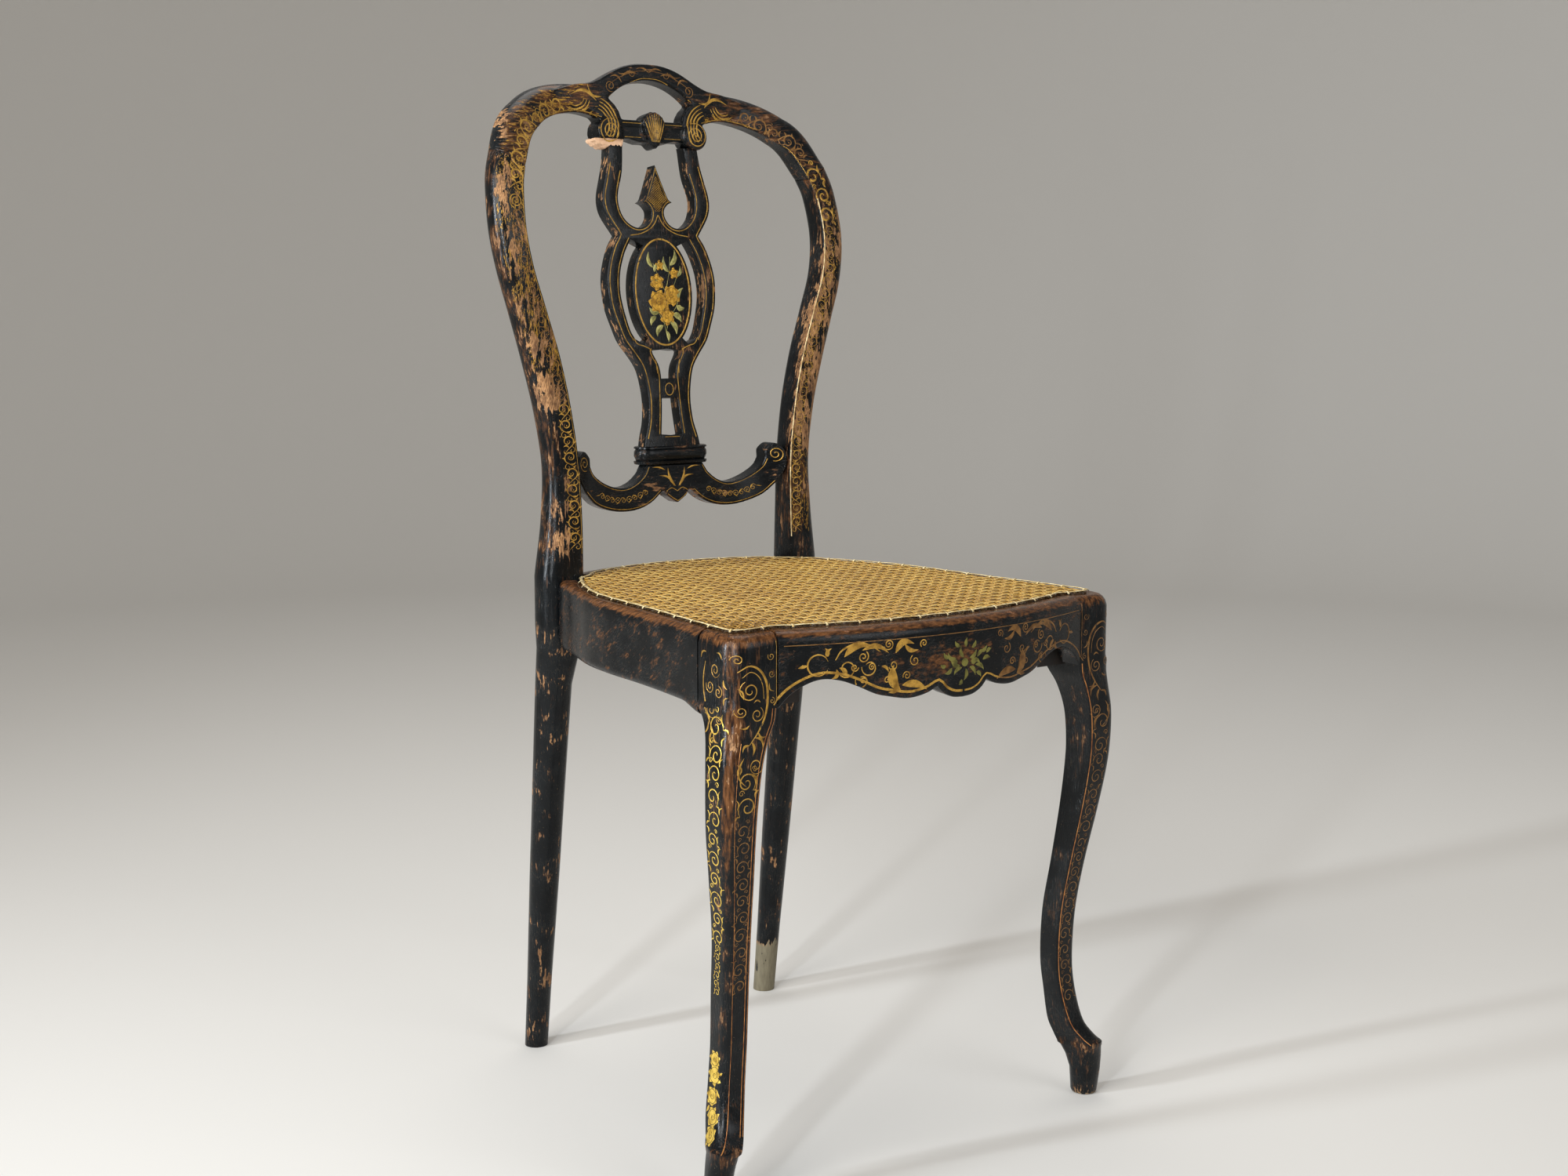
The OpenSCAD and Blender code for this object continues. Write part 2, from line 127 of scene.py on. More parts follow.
def loft(rings, side=1):
    """Points and faces of a closed skin over rings of equal count, mirrored to the left where side is -1."""
    rings = np.array(rings, float)
    count, n = rings.shape[:2]
    i, k = np.meshgrid(np.arange(count - 1), np.arange(n), indexing="ij")
    a, b = (i * n + k).ravel(), (i * n + (k + 1) % n).ravel()
    faces = np.stack([a, b, b + n, a + n], axis=1).tolist()
    faces += [list(range(n))[::-1], list(range((count - 1) * n, count * n))]
    if side < 0:
        faces = [f[::-1] for f in faces]
    return rings.reshape(-1, 3) * (side, 1, 1), faces


def paint(obj, peel=0, gold=0, rub=0, grey=0):
    """Stores how far the lacquer is peeled, washed with gold and rubbed brown, and how grey the bare wood is."""
    state = np.zeros((len(obj.data.vertices), 4), np.float32)
    for k, value in enumerate((peel, gold, rub, grey)):
        state[:, k] = value
    layer = obj.data.attributes.new("state", "FLOAT_COLOR", "POINT")
    layer.data.foreach_set("color", state.ravel())


def colour(code):
    """A linear RGBA colour from its sRGB hex code."""
    parts = [int(code[k:k + 2], 16) / 255 for k in (1, 3, 5)]
    return tuple(v / 12.92 if v <= 0.04045 else ((v + 0.055) / 1.055) ** 2.4 for v in parts) + (1.0,)


def add(tree, kind, inputs, **settings):
    """Adds a node with its settings, sets or links its inputs, and gives its outputs."""
    node = tree.nodes.new(kind)
    for key, value in settings.items():
        setattr(node, key, value)
    for key, value in inputs.items():
        if isinstance(value, bpy.types.NodeSocket):
            tree.links.new(value, node.inputs[key])
        else:
            node.inputs[key].default_value = value
    return node.outputs


def new_material(name):
    material = bpy.data.materials.new(name)
    material.use_nodes = True
    material.node_tree.nodes.clear()
    return material, material.node_tree


def japanned(name, stretch, wood_dark="#6a482c", wood_light="#c09264", turn=0):
    """Japanned beech: a black gloss, crazed and chipped, rubbed brown, washed with gold and flaked to the wood."""
    material, tree = new_material(name)
    plain = add(tree, "ShaderNodeTexCoord", {})["Object"]
    grain = add(tree, "ShaderNodeMapping", {"Vector": plain, "Rotation": (math.radians(turn), 0, 0)})[0]
    along = add(tree, "ShaderNodeMapping", {"Vector": grain, "Scale": stretch})[0]
    halfway = add(tree, "ShaderNodeMapping", {"Vector": grain, "Scale": [0.35 + 0.65 * v for v in stretch]})[0]
    layer = add(tree, "ShaderNodeAttribute", {}, attribute_name="state")
    state = add(tree, "ShaderNodeSeparateColor", {0: layer["Color"]})

    # Sizes in mm: worn areas, single flakes, wood fibre drawn coarser than its real 1 mm to show, fine lines, chips
    broad, middling, fibre, fine, speck = [
        add(tree, "ShaderNodeTexNoise", {"Vector": place, "Scale": 1 / (size * MM), "Detail": detail,
                                         "Roughness": 0.6})["Fac"]
        for place, size, detail in ((plain, 26.316, 4), (halfway, 7.6923, 5), (along, 2.38095, 6),
                                    (along, 0.666667, 3), (plain, 1.11111, 2))]
    # The net of hair cracks, 1.9 mm from crack to crack
    cracks = add(tree, "ShaderNodeTexVoronoi", {"Vector": along, "Scale": 1 / (1.92308 * MM), "Randomness": 1.0},
                 feature="DISTANCE_TO_EDGE")["Distance"]

    flake = 0.0
    for value, share in ((broad, 0.3), (middling, 0.35), (fibre, 0.35)):
        flake = add(tree, "ShaderNodeMath", {0: value, 1: share, 2: flake}, operation="MULTIPLY_ADD")[0]
    flake = add(tree, "ShaderNodeMapRange", {0: flake, 1: 0.2, 2: 0.8}, interpolation_type="SMOOTHSTEP")[0]
    flake_level, rub_level = [add(tree, "ShaderNodeMath", {0: flake, 1: amount}, operation="ADD")[0]
                              for amount in (state[0], state[2])]
    gold_level = state[1]
    for value in (fibre, fine):
        gold_level = add(tree, "ShaderNodeMath", {0: value, 1: 0.5, 2: gold_level}, operation="MULTIPLY_ADD")[0]

    peeled, rim, gilded, rubbed, hair, where_crazed, chips, dull, streak, fine_streak, knots = [
        add(tree, "ShaderNodeMapRange", {0: value, 1: low, 2: high}, interpolation_type="SMOOTHSTEP")[0]
        for value, low, high in ((flake_level, 0.985, 1.0), (flake_level, 0.95, 0.99), (gold_level, 0.985, 1.015),
                                 (rub_level, 0.85, 1.2), (cracks, 0.05, 0.0), (broad, 0.42, 0.6), (speck, 0.70, 0.74),
                                 (broad, 0.35, 0.7), (fibre, 0.3, 0.7), (fine, 0.35, 0.65), (middling, 0.45, 0.75))]
    crazed = add(tree, "ShaderNodeMath", {0: hair, 1: where_crazed}, operation="MULTIPLY")[0]
    crack_dirt, chip_dust, broken, flake_edge, leaf_metal = [
        add(tree, "ShaderNodeMath", {0: value, 1: share}, operation="MULTIPLY")[0]
        for value, share in ((crazed, 0.45), (chips, 0.6), (layer["Alpha"], -1.0), (rim, 0.5), (gilded, 0.45))]

    skin, brown, gold, wood, grey, fresh = [
        add(tree, "ShaderNodeMix", {0: share, 6: colour(dark), 7: colour(light)}, data_type="RGBA")[2]
        for share, dark, light in ((dull, "#07090b", "#0e1316"), (streak, "#26140a", "#6c4423"),
                                   (fine_streak, "#6b4a1a", "#b08532"), (fine_streak, wood_dark, wood_light),
                                   (fibre, "#4c4638", "#8b826b"), (fine, "#c9946c", "#f0cfae"))]
    for cover, top in ((knots, colour("#4d3323")), (layer["Alpha"], grey), (broken, fresh)):
        wood = add(tree, "ShaderNodeMix", {0: cover, 6: wood, 7: top}, data_type="RGBA")[2]
    for cover, top in ((crack_dirt, colour("#3b342b")), (chip_dust, colour("#7d6a52")), (rubbed, brown),
                       (gilded, gold), (flake_edge, colour("#241a12")), (peeled, wood)):
        skin = add(tree, "ShaderNodeMix", {0: cover, 6: skin, 7: top}, data_type="RGBA")[2]

    roughness, height = 0.16, 0.0
    for value, share in ((streak, 0.14), (peeled, 0.35), (gilded, 0.12)):
        roughness = add(tree, "ShaderNodeMath", {0: value, 1: share, 2: roughness}, operation="MULTIPLY_ADD")[0]
    for value, share in ((fine, 0.12), (peeled, -0.8), (crazed, -0.35), (gilded, 0.15)):
        height = add(tree, "ShaderNodeMath", {0: value, 1: share, 2: height}, operation="MULTIPLY_ADD")[0]
    bump = add(tree, "ShaderNodeBump", {"Height": height, "Strength": 0.6, "Distance": 0.6 * MM})[0]
    shader = add(tree, "ShaderNodeBsdfPrincipled", {"Base Color": skin, "Roughness": roughness, "Normal": bump,
                                                    "Metallic": leaf_metal, "Specular IOR Level": 0.22})[0]
    add(tree, "ShaderNodeOutputMaterial", {"Surface": shader})
    return material


LACQUER_UP = japanned("lacquer_grain_up", (1, 1, 0.16))


def place_piece(obj, material, *nodes, slot="japanned_wood"):
    obj.data.materials.clear()
    obj.data.materials.append(material)
    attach(obj, "root")
    if nodes:
        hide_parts(*nodes)
    return obj


def post_rings(rows, steps=9):
    """Sections square to the path, each with a sharp inner front corner and a round outer side."""
    rings = []
    for k, (x, y, z, w, d, soft) in enumerate(rows):
        ahead, behind = rows[min(k + 1, len(rows) - 1)], rows[max(k - 1, 0)]
        tx, tz = ahead[0] - behind[0], ahead[2] - behind[2]
        at_joint = 1 - ramp(abs(z - JOINT_Z), 0, 9)
        tx, tz = np.array([tx, tz]) / math.hypot(tx, tz) * (1 - at_joint) + JOINT_WAY * at_joint
        size = math.hypot(tx, tz)
        across = np.array([tz, 0, -tx]) / size + (0, SLOPE * -tx / size, 0)
        m = min(w, d)
        radii = [r + (m / 2 - r) * soft for r in (1.2, 0.42 * m, 0.46 * m, 0.36 * m)]
        section = rounded(w, d, radii, steps)
        rings.append([np.array([x, y, z]) + u * across + (0, v, 0) for u, v in section])
    return rings


leg_line = [row for a, b in zip(LEG_ROWS, LEG_ROWS[1:]) for row in np.linspace(a, b, 12)[:-1]]
post_line = np.vstack([leg_line, smooth(STILE_ROWS, 14)])


def make_post(side, peel_at):
    rings = np.array(post_rings(post_line))
    section = rings.shape[1]
    across = np.tile(np.linspace(0, 1, section), len(rings))
    height = np.repeat(post_line[:, 2], section)
    width = np.repeat(post_line[:, 3], section)
    local = (rings - rings[:, :1]).reshape(-1, 3)
    from_inner = local[:, 0] / width
    obj = solid("left_post" if side < 0 else "right_post", *loft(rings, side))
    front = 1 - ramp(local[:, 1] / width, 0.05, 0.35)
    paint(obj, *peel_at(from_inner, front, height))
    return obj


def left_post_state(u, front, z):
    stile = ramp(z, 452, 470)
    outer = ramp(u, 0.42, 0.75)
    upper = ramp(z, 560, 640)
    drift = 0.05 * np.sin(z / 23) + 0.04 * np.sin(z / 8.3 + 1) * np.sin(u * 5)
    shoulder = ramp(u, 0.3, 0.5) * (1 - 0.55 * ramp(u, 0.72, 0.95))
    peel = 0.26 + stile * (shoulder * (0.15 + 1.6 * drift) + front * (0.02 + 0.05 * upper))
    gold = 0.18 + stile * front * (0.18 + 0.1 * upper)
    rub = 0.28 + 0.15 * stile * outer
    return peel + 0.07 * (1 - ramp(z, 380, 440)), gold, rub


def right_post_state(u, front, z):
    stile = ramp(z, 462, 468)
    bare_middle = ramp(z, 520, 580) * (1 - ramp(z, 745, 785))
    drift = 0.04 * np.sin(z / 17) + 0.03 * np.sin(z / 6.1)
    peel = 0.26 + stile * (front * (0.09 + 0.15 * bare_middle + drift) + 0.08 * ramp(u, 0.6, 0.9))
    peel = peel - 0.12 * ramp(z, 765, 790) * front
    gold = 0.15 + stile * front * (0.2 + 0.1 * ramp(u, 0.1, 0.3)) * (1 - 0.6 * ramp(z, 765, 790))
    ragged = np.array([noise.noise((9 * a, 0.12 * b, 3)) for a, b in zip(u, z)])
    bare_foot = 1 - ramp(z + 14 * ragged, 52, 58)
    flakes = 0.05 * (1 - ramp(z, 380, 440))
    return np.maximum(peel + flakes, bare_foot * 0.66), gold, 0.28 + 0.2 * stile * front, bare_foot


left_post = place_piece(make_post(-1, left_post_state), LACQUER_UP, "rear_leg_left")
right_post = place_piece(make_post(1, right_post_state), LACQUER_UP, "rear_leg_right")


# ---------- crest rail ----------
# The crest rail is one carved piece of beech, pierced by an arch, with two curls and a fluted shell. It is dowelled
# on top of both stiles and japanned. The lower half of its left curl has broken off and left pale, splintered wood.

CREST_Z = 832
CREST_Y = 38.1
CREST_T = 17
BREAK_Z = 825
ARM_ROWS = [(151.5, 4.3, 795, 28.5, 28, 0), (139, 15.5, 819, 29, 27.5, 0), (126.5, 24.6, 830.5, 28, 26, 0),
            (112.5, 33.5, 839, 27, 25, 0), (95.6, 39.8, 844.5, 26, 24, 0), (75, 41, 846.5, 25.5, 23, 0),
            (54, 40, 842.5, 27, 22, 0)]
CREST_TOP_EDGE = [(0, 894.3), (14, 893.6), (28, 890.3), (40, 885), (52, 878.6), (64, 874), (80, 871.5), (98, 866.5),
                  (112, 861.5)]
ARCH = [(32, 843.5), (34, 850), (38, 856), (44, 861)] + [tuple(q) for q in arc(0, 816.3, 63.2, 63.2, 45.3, 90, 16)]
LACQUER_ACROSS = japanned("lacquer_grain_across", (0.16, 0.5, 1))


def mirrored(line):
    return [(-p[0],) + tuple(p[1:]) for p in reversed(list(line))]


def both_halves(half):
    """A closed outline from its right half, drawn from the middle round to the middle."""
    return list(map(tuple, half)) + [p for p in mirrored(half) if abs(p[0]) > 0.01]


def board(name, outlines, thickness, bevel=0.6):
    """A board cut from 2D outlines (holes included), its front at local y 0, drawn in x and z."""
    curve = bpy.data.curves.new(name, "CURVE")
    curve.dimensions = "2D"
    curve.fill_mode = "BOTH"
    curve.extrude = thickness / 2 - bevel
    curve.bevel_depth = bevel
    curve.bevel_resolution = 2
    curve.offset = -bevel
    for outline in outlines:
        spline = curve.splines.new("POLY")
        spline.points.add(len(outline) - 1)
        spline.points.foreach_set("co", np.array([(x, z, 0, 1) for x, z in outline]).ravel())
        spline.use_cyclic_u = True
    obj = bpy.data.objects.new(name, curve)
    bpy.context.scene.collection.objects.link(obj)
    mesh = bpy.data.meshes.new_from_object(obj.evaluated_get(bpy.context.evaluated_depsgraph_get()))
    bpy.data.objects.remove(obj)
    points = np.empty(len(mesh.vertices) * 3)
    mesh.vertices.foreach_get("co", points)
    points = points.reshape(-1, 3)
    faces = [tuple(p.vertices) for p in mesh.polygons]
    bpy.data.meshes.remove(mesh)
    return np.stack([points[:, 0], thickness / 2 - points[:, 2], points[:, 1]], axis=1), faces


def lean_back(points, y, z, slope):
    """Stands a board on the leaning plane that passes through y at height z."""
    turn = math.atan(slope)
    c, s = math.cos(turn), math.sin(turn)
    up, deep = (points[:, 2] - z) / c, points[:, 1]
    return np.stack([points[:, 0], y + up * s + deep * c, z + up * c - deep * s], axis=1)


def fused(name, shells, voxel, relax=2):
    """One skin over several overlapping closed shells."""
    verts, faces, first = [], [], 0
    for points, polygons in shells:
        verts.extend(points)
        faces.extend([tuple(v + first for v in f) for f in polygons])
        first += len(points)
    rough = solid(name + "_rough", verts, faces)
    remesh = rough.modifiers.new("fuse", "REMESH")
    remesh.mode = "VOXEL"
    remesh.voxel_size = voxel * MM
    soften = rough.modifiers.new("soften", "SMOOTH")
    soften.iterations = relax
    soften.factor = 0.4
    mesh = bpy.data.meshes.new_from_object(rough.evaluated_get(bpy.context.evaluated_depsgraph_get()))
    bpy.data.objects.remove(rough)
    mesh.name = name
    mesh.shade_smooth()
    obj = bpy.data.objects.new(name, mesh)
    bpy.context.scene.collection.objects.link(obj)
    return obj


def positions(obj):
    """Vertex places in millimetres from the back's plane."""
    points = np.empty(len(obj.data.vertices) * 3)
    obj.data.vertices.foreach_get("co", points)
    return points.reshape(-1, 3) / MM - (0, BACK_Y, 0)


def move_points(obj, points):
    obj.data.vertices.foreach_set("co", ((points + (0, BACK_Y, 0)) * MM).ravel())
    obj.data.update()


def normals(obj):
    found = np.empty(len(obj.data.vertices) * 3)
    obj.data.vertices.foreach_get("normal", found)
    return found.reshape(-1, 3)


def crest_board(outlines, thickness, proud=0.0, bevel=0.8):
    points, faces = board("crest_board", outlines, thickness, bevel)
    points[:, 1] -= proud
    return lean_back(points, CREST_Y, CREST_Z, SLOPE), faces


crest_arm_line = smooth(ARM_ROWS, 12)
right_arm, left_arm = [loft(post_rings(crest_arm_line), side) for side in (1, -1)]
right_curl = list(map(tuple, arc(46, 832, 12.8, 12.8, 0, 360, 40)[:-1]))
left_curl = [(-x, max(z, BREAK_Z)) for x, z in reversed(right_curl)]
arch_hole = both_halves(ARCH[::-1])
crest_half = [tuple(q) for q in smooth(CREST_TOP_EDGE, 5)] + [(112, 848), (95, 852), (75, 851), (60, 846), (52, 838)]
bar_edge = [(-46, 826.5), (-24, 826.5), (-14, 824), (14, 824), (24, 826.5), (46, 826.5), (46, 842), (-46, 842)]
stub_edge = [(-63, BREAK_Z), (-57, 820.5), (-51, 818), (-33, 818), (-31, BREAK_Z + 1), (-63, BREAK_Z + 1)]

crest_shells = [right_arm, left_arm,
                crest_board([both_halves(crest_half), arch_hole], CREST_T, 0, 2.2),
                crest_board([bar_edge], CREST_T - 2, -1.5),
                crest_board([right_curl], CREST_T + 4, 1.5, 2.5),
                crest_board([left_curl], CREST_T + 4, 1.5, 1.0),
                crest_board([stub_edge], CREST_T - 1, -1.0)]

# The shell boss: a fluted fan that swells forward
shell_rings = []
for depth, grow in ((CREST_T - 4, 1.0), (0, 1.0), (-2.2, 0.98), (-3.4, 0.92), (-4, 0.78), (-4.3, 0.4)):
    ring = []
    for t in np.radians(np.linspace(0, 360, 72, endpoint=False)):
        up = math.sin(t)
        reach = 12.3 if up > 0 else 12.3 * (1 - 0.42 * abs(up) ** 1.2)
        flute = 1 + 0.035 * math.cos(18 * t) * (depth < 1)
        ring.append((reach * math.cos(t) * grow * flute, depth, 838.5 + (12.5 if up > 0 else 20) * up * grow * flute))
    shell_rings.append(ring)
shell_points, shell_faces = loft(shell_rings)
crest_shells.append((lean_back(np.array(shell_points), CREST_Y, CREST_Z, SLOPE), shell_faces))

crest = fused("crest_rail_carved", crest_shells, 1.15)
p = positions(crest)
raw = (1 - ramp(p[:, 2], BREAK_Z - 0.6, BREAK_Z + 1.2)) * ((p[:, 0] < -30) & (p[:, 0] > -66))
splinter = np.array([noise.noise(Vector(q) * 0.35) + 0.5 * noise.noise(Vector(q) * 1.1) for q in p])
p[:, 2] += raw * splinter * 1.1
p[:, 1] += raw * (np.abs(splinter) * 1.2)
move_points(crest, p)
n = normals(crest)
facing = ramp(-n[:, 1], 0.2, 0.7)
arm_part = ramp(np.abs(p[:, 0]), 50, 60)
curl_part = (np.hypot(np.abs(p[:, 0]) - 46, p[:, 2] - 836) < 22) | (np.hypot(p[:, 0], p[:, 2] - 838) < 14)
left_part = ramp(-p[:, 0], 60, 72)
gold = 0.1 + facing * (0.14 * arm_part + 0.2 * left_part + 0.22 * curl_part)
shoulder = ramp(-p[:, 0], 120, 150)
outer_side = ramp(-n[:, 0], 0.1, 0.6) * shoulder
rubbed = 0.28 + (0.14 * arm_part + 0.1 * left_part) * facing
paint(crest, np.maximum(raw * 1.2, 0.26 + outer_side * 0.1 + shoulder * 0.05), gold, rubbed, -raw)
place_piece(crest, LACQUER_ACROSS, "crest_rail")


# ---------- splat ----------
# The splat is a thin beech board, fretted out with a saw, eased at its edges and japanned. Its two arms meet the
# crest rail at the top, and the tenon at its foot stands in the shoe.

SPLAT_Y, SPLAT_Z, SPLAT_T = 8.6, 551, 13
SPLAT_SLOPE = math.tan(math.radians(6.2))
SPLAT_TOP = 820.5
OVAL = (0, 690, 32, 50.5)
SPADE = [(0, 804), (5, 791), (9, 781), (12.5, 773.5), (16.3, 771)]
HOLLOW = [(16.3, 771), (11, 768.5), (7, 763), (8, 756), (13, 750), (20, 747.5), (27, 748.5), (34, 753),
          (39, 760), (41.5, 770), (40.5, 780), (35.5, 797), (33, SPLAT_TOP + 3)]
ARM_OUTSIDE = [(47, SPLAT_TOP + 3), (49.5, 805), (53.5, 790), (57, 777), (57.3, 767), (54, 757), (43, 741)]
BODY_OUTSIDE = [(43, 741), (49.5, 731), (55, 717), (58, 703), (58, 690), (56, 675), (50.5, 659), (45, 646),
                (35, 633), (28, 622), (24.3, 608), (22.7, 592), (24.3, 574), (28.5, 559), (31, SPLAT_Z - 6)]
SLOT_OUTSIDE = [(31, 737), (38.5, 724), (44, 708), (45.5, 692), (43.5, 677), (38, 657), (33, 648)]
LOWER_SLOT = [(9, 638), (16, 637), (10, 625), (8, 615), (8.2, 603), (9.2, 585), (11.4, 562)]


def welded(name, points, faces):
    """A board's shell with its loose edges joined, kept crisp."""
    obj = solid(name, points, faces, flat=True)
    work = bmesh.new()
    work.from_mesh(obj.data)
    bmesh.ops.remove_doubles(work, verts=work.verts, dist=0.02 * MM)
    bmesh.ops.recalc_face_normals(work, faces=work.faces)
    work.to_mesh(obj.data)
    work.free()
    obj.data.shade_smooth()
    obj.data.set_sharp_from_angle(angle=math.radians(20))
    return obj


splat_half = np.vstack([smooth(SPADE, 4)[:-1], smooth(HOLLOW, 5), smooth(ARM_OUTSIDE, 5)[:-1],
                        smooth(BODY_OUTSIDE, 5)])
oval_side = [tuple(q) for q in arc(*OVAL, 55, -55, 24)]
side_slot = [tuple(q) for q in smooth(SLOT_OUTSIDE, 5)] + [(24, 643.5)] + oval_side[::-1]
slot_half = smooth(LOWER_SLOT, 4)
slot = both_halves([(0, 639)] + [tuple(q) for q in slot_half] + [(0, 561)])
slot_top = [q for q in slot if q[1] > 609.5]
slot_bottom = [q for q in slot if q[1] < 595.5]
splat_points, splat_faces = board("splat_board", [both_halves(splat_half), side_slot, mirrored(side_slot),
                                                  slot_top, slot_bottom], SPLAT_T)
splat = welded("back_splat_board", lean_back(splat_points, SPLAT_Y, SPLAT_Z, SPLAT_SLOPE), splat_faces)
p, n = positions(splat), normals(splat)
p[:, 2] = np.minimum(p[:, 2], SPLAT_TOP)
move_points(splat, p)
right_side = ramp(p[:, 0], 5, 45)
edge_faces = ramp(np.abs(n[:, 0]), 0.4, 0.8)
paint(splat, 0.27 + 0.05 * right_side + 0.1 * edge_faces, 0.05, 0.25 + 0.1 * right_side)
place_piece(splat, LACQUER_UP, "back_splat")


# ---------- shoe under the splat ----------
# The shoe is a small beech block with rounded ends and a moulding run round it, japanned like the rest. It is glued
# on the cross rail, and the splat's tenon is let into it.

SHOE_HALF = 37
SHOE_R = (SPLAT_T + 10) / 2
SHOE_ROWS = [(535, -1.2), (535.6, 0.3), (538, 0.8), (538.6, -1.4), (540, -0.6), (543, 0.6), (546.5, 0.4), (549, -1.0),
             (549.6, 0.6), (551, 0.4), (551.4, -0.8)]
shoe_rings = []
for z, grow in SHOE_ROWS:
    outline = np.vstack([arc(SHOE_HALF - SHOE_R, SHOE_R, SHOE_R + grow, SHOE_R + grow, -90, 90, 14),
                         arc(SHOE_R - SHOE_HALF, SHOE_R, SHOE_R + grow, SHOE_R + grow, 90, 270, 14)])
    shoe_rings.append([(x, SPLAT_Y - 7 + y, z) for x, y in outline])
shoe = solid("splat_shoe_moulding", *loft(shoe_rings))
paint(shoe, 0.26, 0.05, 0.3)
place_piece(shoe, LACQUER_ACROSS, "splat_shoe")


# ---------- cross rail ----------
# The cross rail is a double bow with a curl at each end and a heart drop, sawn from one thick piece of beech. Its
# ends curve forward to the stiles, where dowels hold them, and it is japanned.

CROSS_T = 16
CROSS_TOP = [(0, 535), (30, 535), (35, 527), (44, 520), (55, 516), (67, 517), (80, 522), (91, 529.5), (95.5, 537)]
CROSS_CURL = [(95.5, 537), (96, 545), (103, 551), (110.5, 547), (113, 540), (112.5, 528), (104, 514)]
CROSS_LOW = [(104, 514), (91, 503), (73, 496.5), (56, 494.5), (40, 496.5), (27, 502), (17, 510)]
HEART = [(17, 510), (13, 511.5), (10, 506), (0, 499.6)]


def cross_bend(x):
    """How far the cross rail curves forward at x."""
    past = np.clip(np.abs(x) - 56, 0, 60)
    return 98 - np.sqrt(98 ** 2 - past ** 2)


cross_half = np.vstack([CROSS_TOP[:2], smooth(CROSS_TOP[2:], 5)[:-1], smooth(CROSS_CURL, 5)[:-1],
                        smooth(CROSS_LOW, 5)[:-1], HEART])
cross_points, cross_faces = board("cross_board", [both_halves(cross_half)], CROSS_T, 1.0)
cross = fused("cross_rail_bow", [(cross_points, cross_faces)], 1.3, 1)
p = positions(cross)
n = normals(cross)
p[:, 1] += 2.7 - cross_bend(p[:, 0]) + 0.1 * (p[:, 2] - 520)
p[:, 0] = np.clip(p[:, 0], -113.3, 113.3)
move_points(cross, p)
paint(cross, 0.28, 0.04, 0.25 + 0.25 * ramp(-n[:, 2], 0.3, 0.8))
place_piece(cross, LACQUER_ACROSS, "cross_rail")


# ---------- seat frame ----------
# Four beech rails are sawn to the seat's bowed outline and dowelled to the legs, with a ledge inside for the cane.
# Their lacquer is scuffed and rubbed brown along the top edges, and the front rail's lower edge is cut to a drop
# and two lobes.

SEAT_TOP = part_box("seat_rail_front")[1][2] / MM
RIM_DROP = 1.0
LEDGE_W, LEDGE_T, APRON_T = 14, 20, 16
RAIL_BOTTOM = SEAT_TOP - 61
# Each bow's y at its middle, and its radius
FRONT_FACE, FRONT_RIM = (FRONT_BOW_Y, 415), (-372, 396)
REAR_FACE, REAR_RIM = (40, 227), (22, 207)
OUTER_SIDE = [(194.3, -313.4), (188.5, -262), (184.5, -215), (181.5, -165), (174.5, -123), (161, -82), (151.5, -55),
              (146.5, -36), (139.5, -20)]
RIM_SIDE = [(184.3, -313.4), (179, -262), (174, -222), (170, -170), (164, -120), (153, -86), (141, -58), (128, -34)]
APRON = [[(0, 381), (10, 382), (19, 386), (25, 392)], [(25, 392), (34, 388), (45, 385.7), (55, 385.5), (68, 388),
         (80, 391), (95, 398), (108, 403), (122, 405), (134, 402), (146, 395), (155, 385)]]
LACQUER_RAIL = japanned("scuffed_rail_lacquer", (0.4, 0.3, 1), "#5a3020", "#a8754f", turn=32)


def spaced(line, count):
    """The same line with count points at equal distances."""
    line = np.array(line, float)
    run = np.concatenate([[0], np.cumsum(np.linalg.norm(np.diff(line, axis=0), axis=1))])
    return np.array([np.interp(np.linspace(0, run[-1], count), run, line[:, k]) for k in range(line.shape[1])]).T


def front_bow(x, y, r):
    return y + r - np.sqrt(r * r - x * x)


def back_bow(x, y, r):
    return y - r + np.sqrt(r * r - x * x)


def rail_ring(outer, rim, bottom, low_r=1.5, top=SEAT_TOP, round_r=9):
    """One upright section of a rail, from its outer face to the ledge that the cane is pegged into."""
    outer, rim = np.array(outer, float), np.array(rim, float)
    width = np.linalg.norm(rim - outer)
    inward = (rim - outer) / width
    shape = [(low_r - low_r * math.cos(a), bottom + low_r - low_r * math.sin(a)) for a in np.radians((80, 60, 40, 20,
                                                                                                      0))]
    shape += [tuple(q) for q in np.linspace((0, bottom + low_r + 2), (0, top - round_r), 6)]
    shape += [(round_r - round_r * math.cos(a), top - round_r + round_r * math.sin(a))
              for a in np.radians((15, 30, 45, 60, 75, 90))]
    shape += [(width - 2, top), (width, top - RIM_DROP), (width + LEDGE_W, top - RIM_DROP),
              (width + LEDGE_W, top - RIM_DROP - LEDGE_T), (APRON_T, top - RIM_DROP - LEDGE_T), (APRON_T, bottom + 1)]
    return [(*(outer + inward * d), z) for d, z in shape]


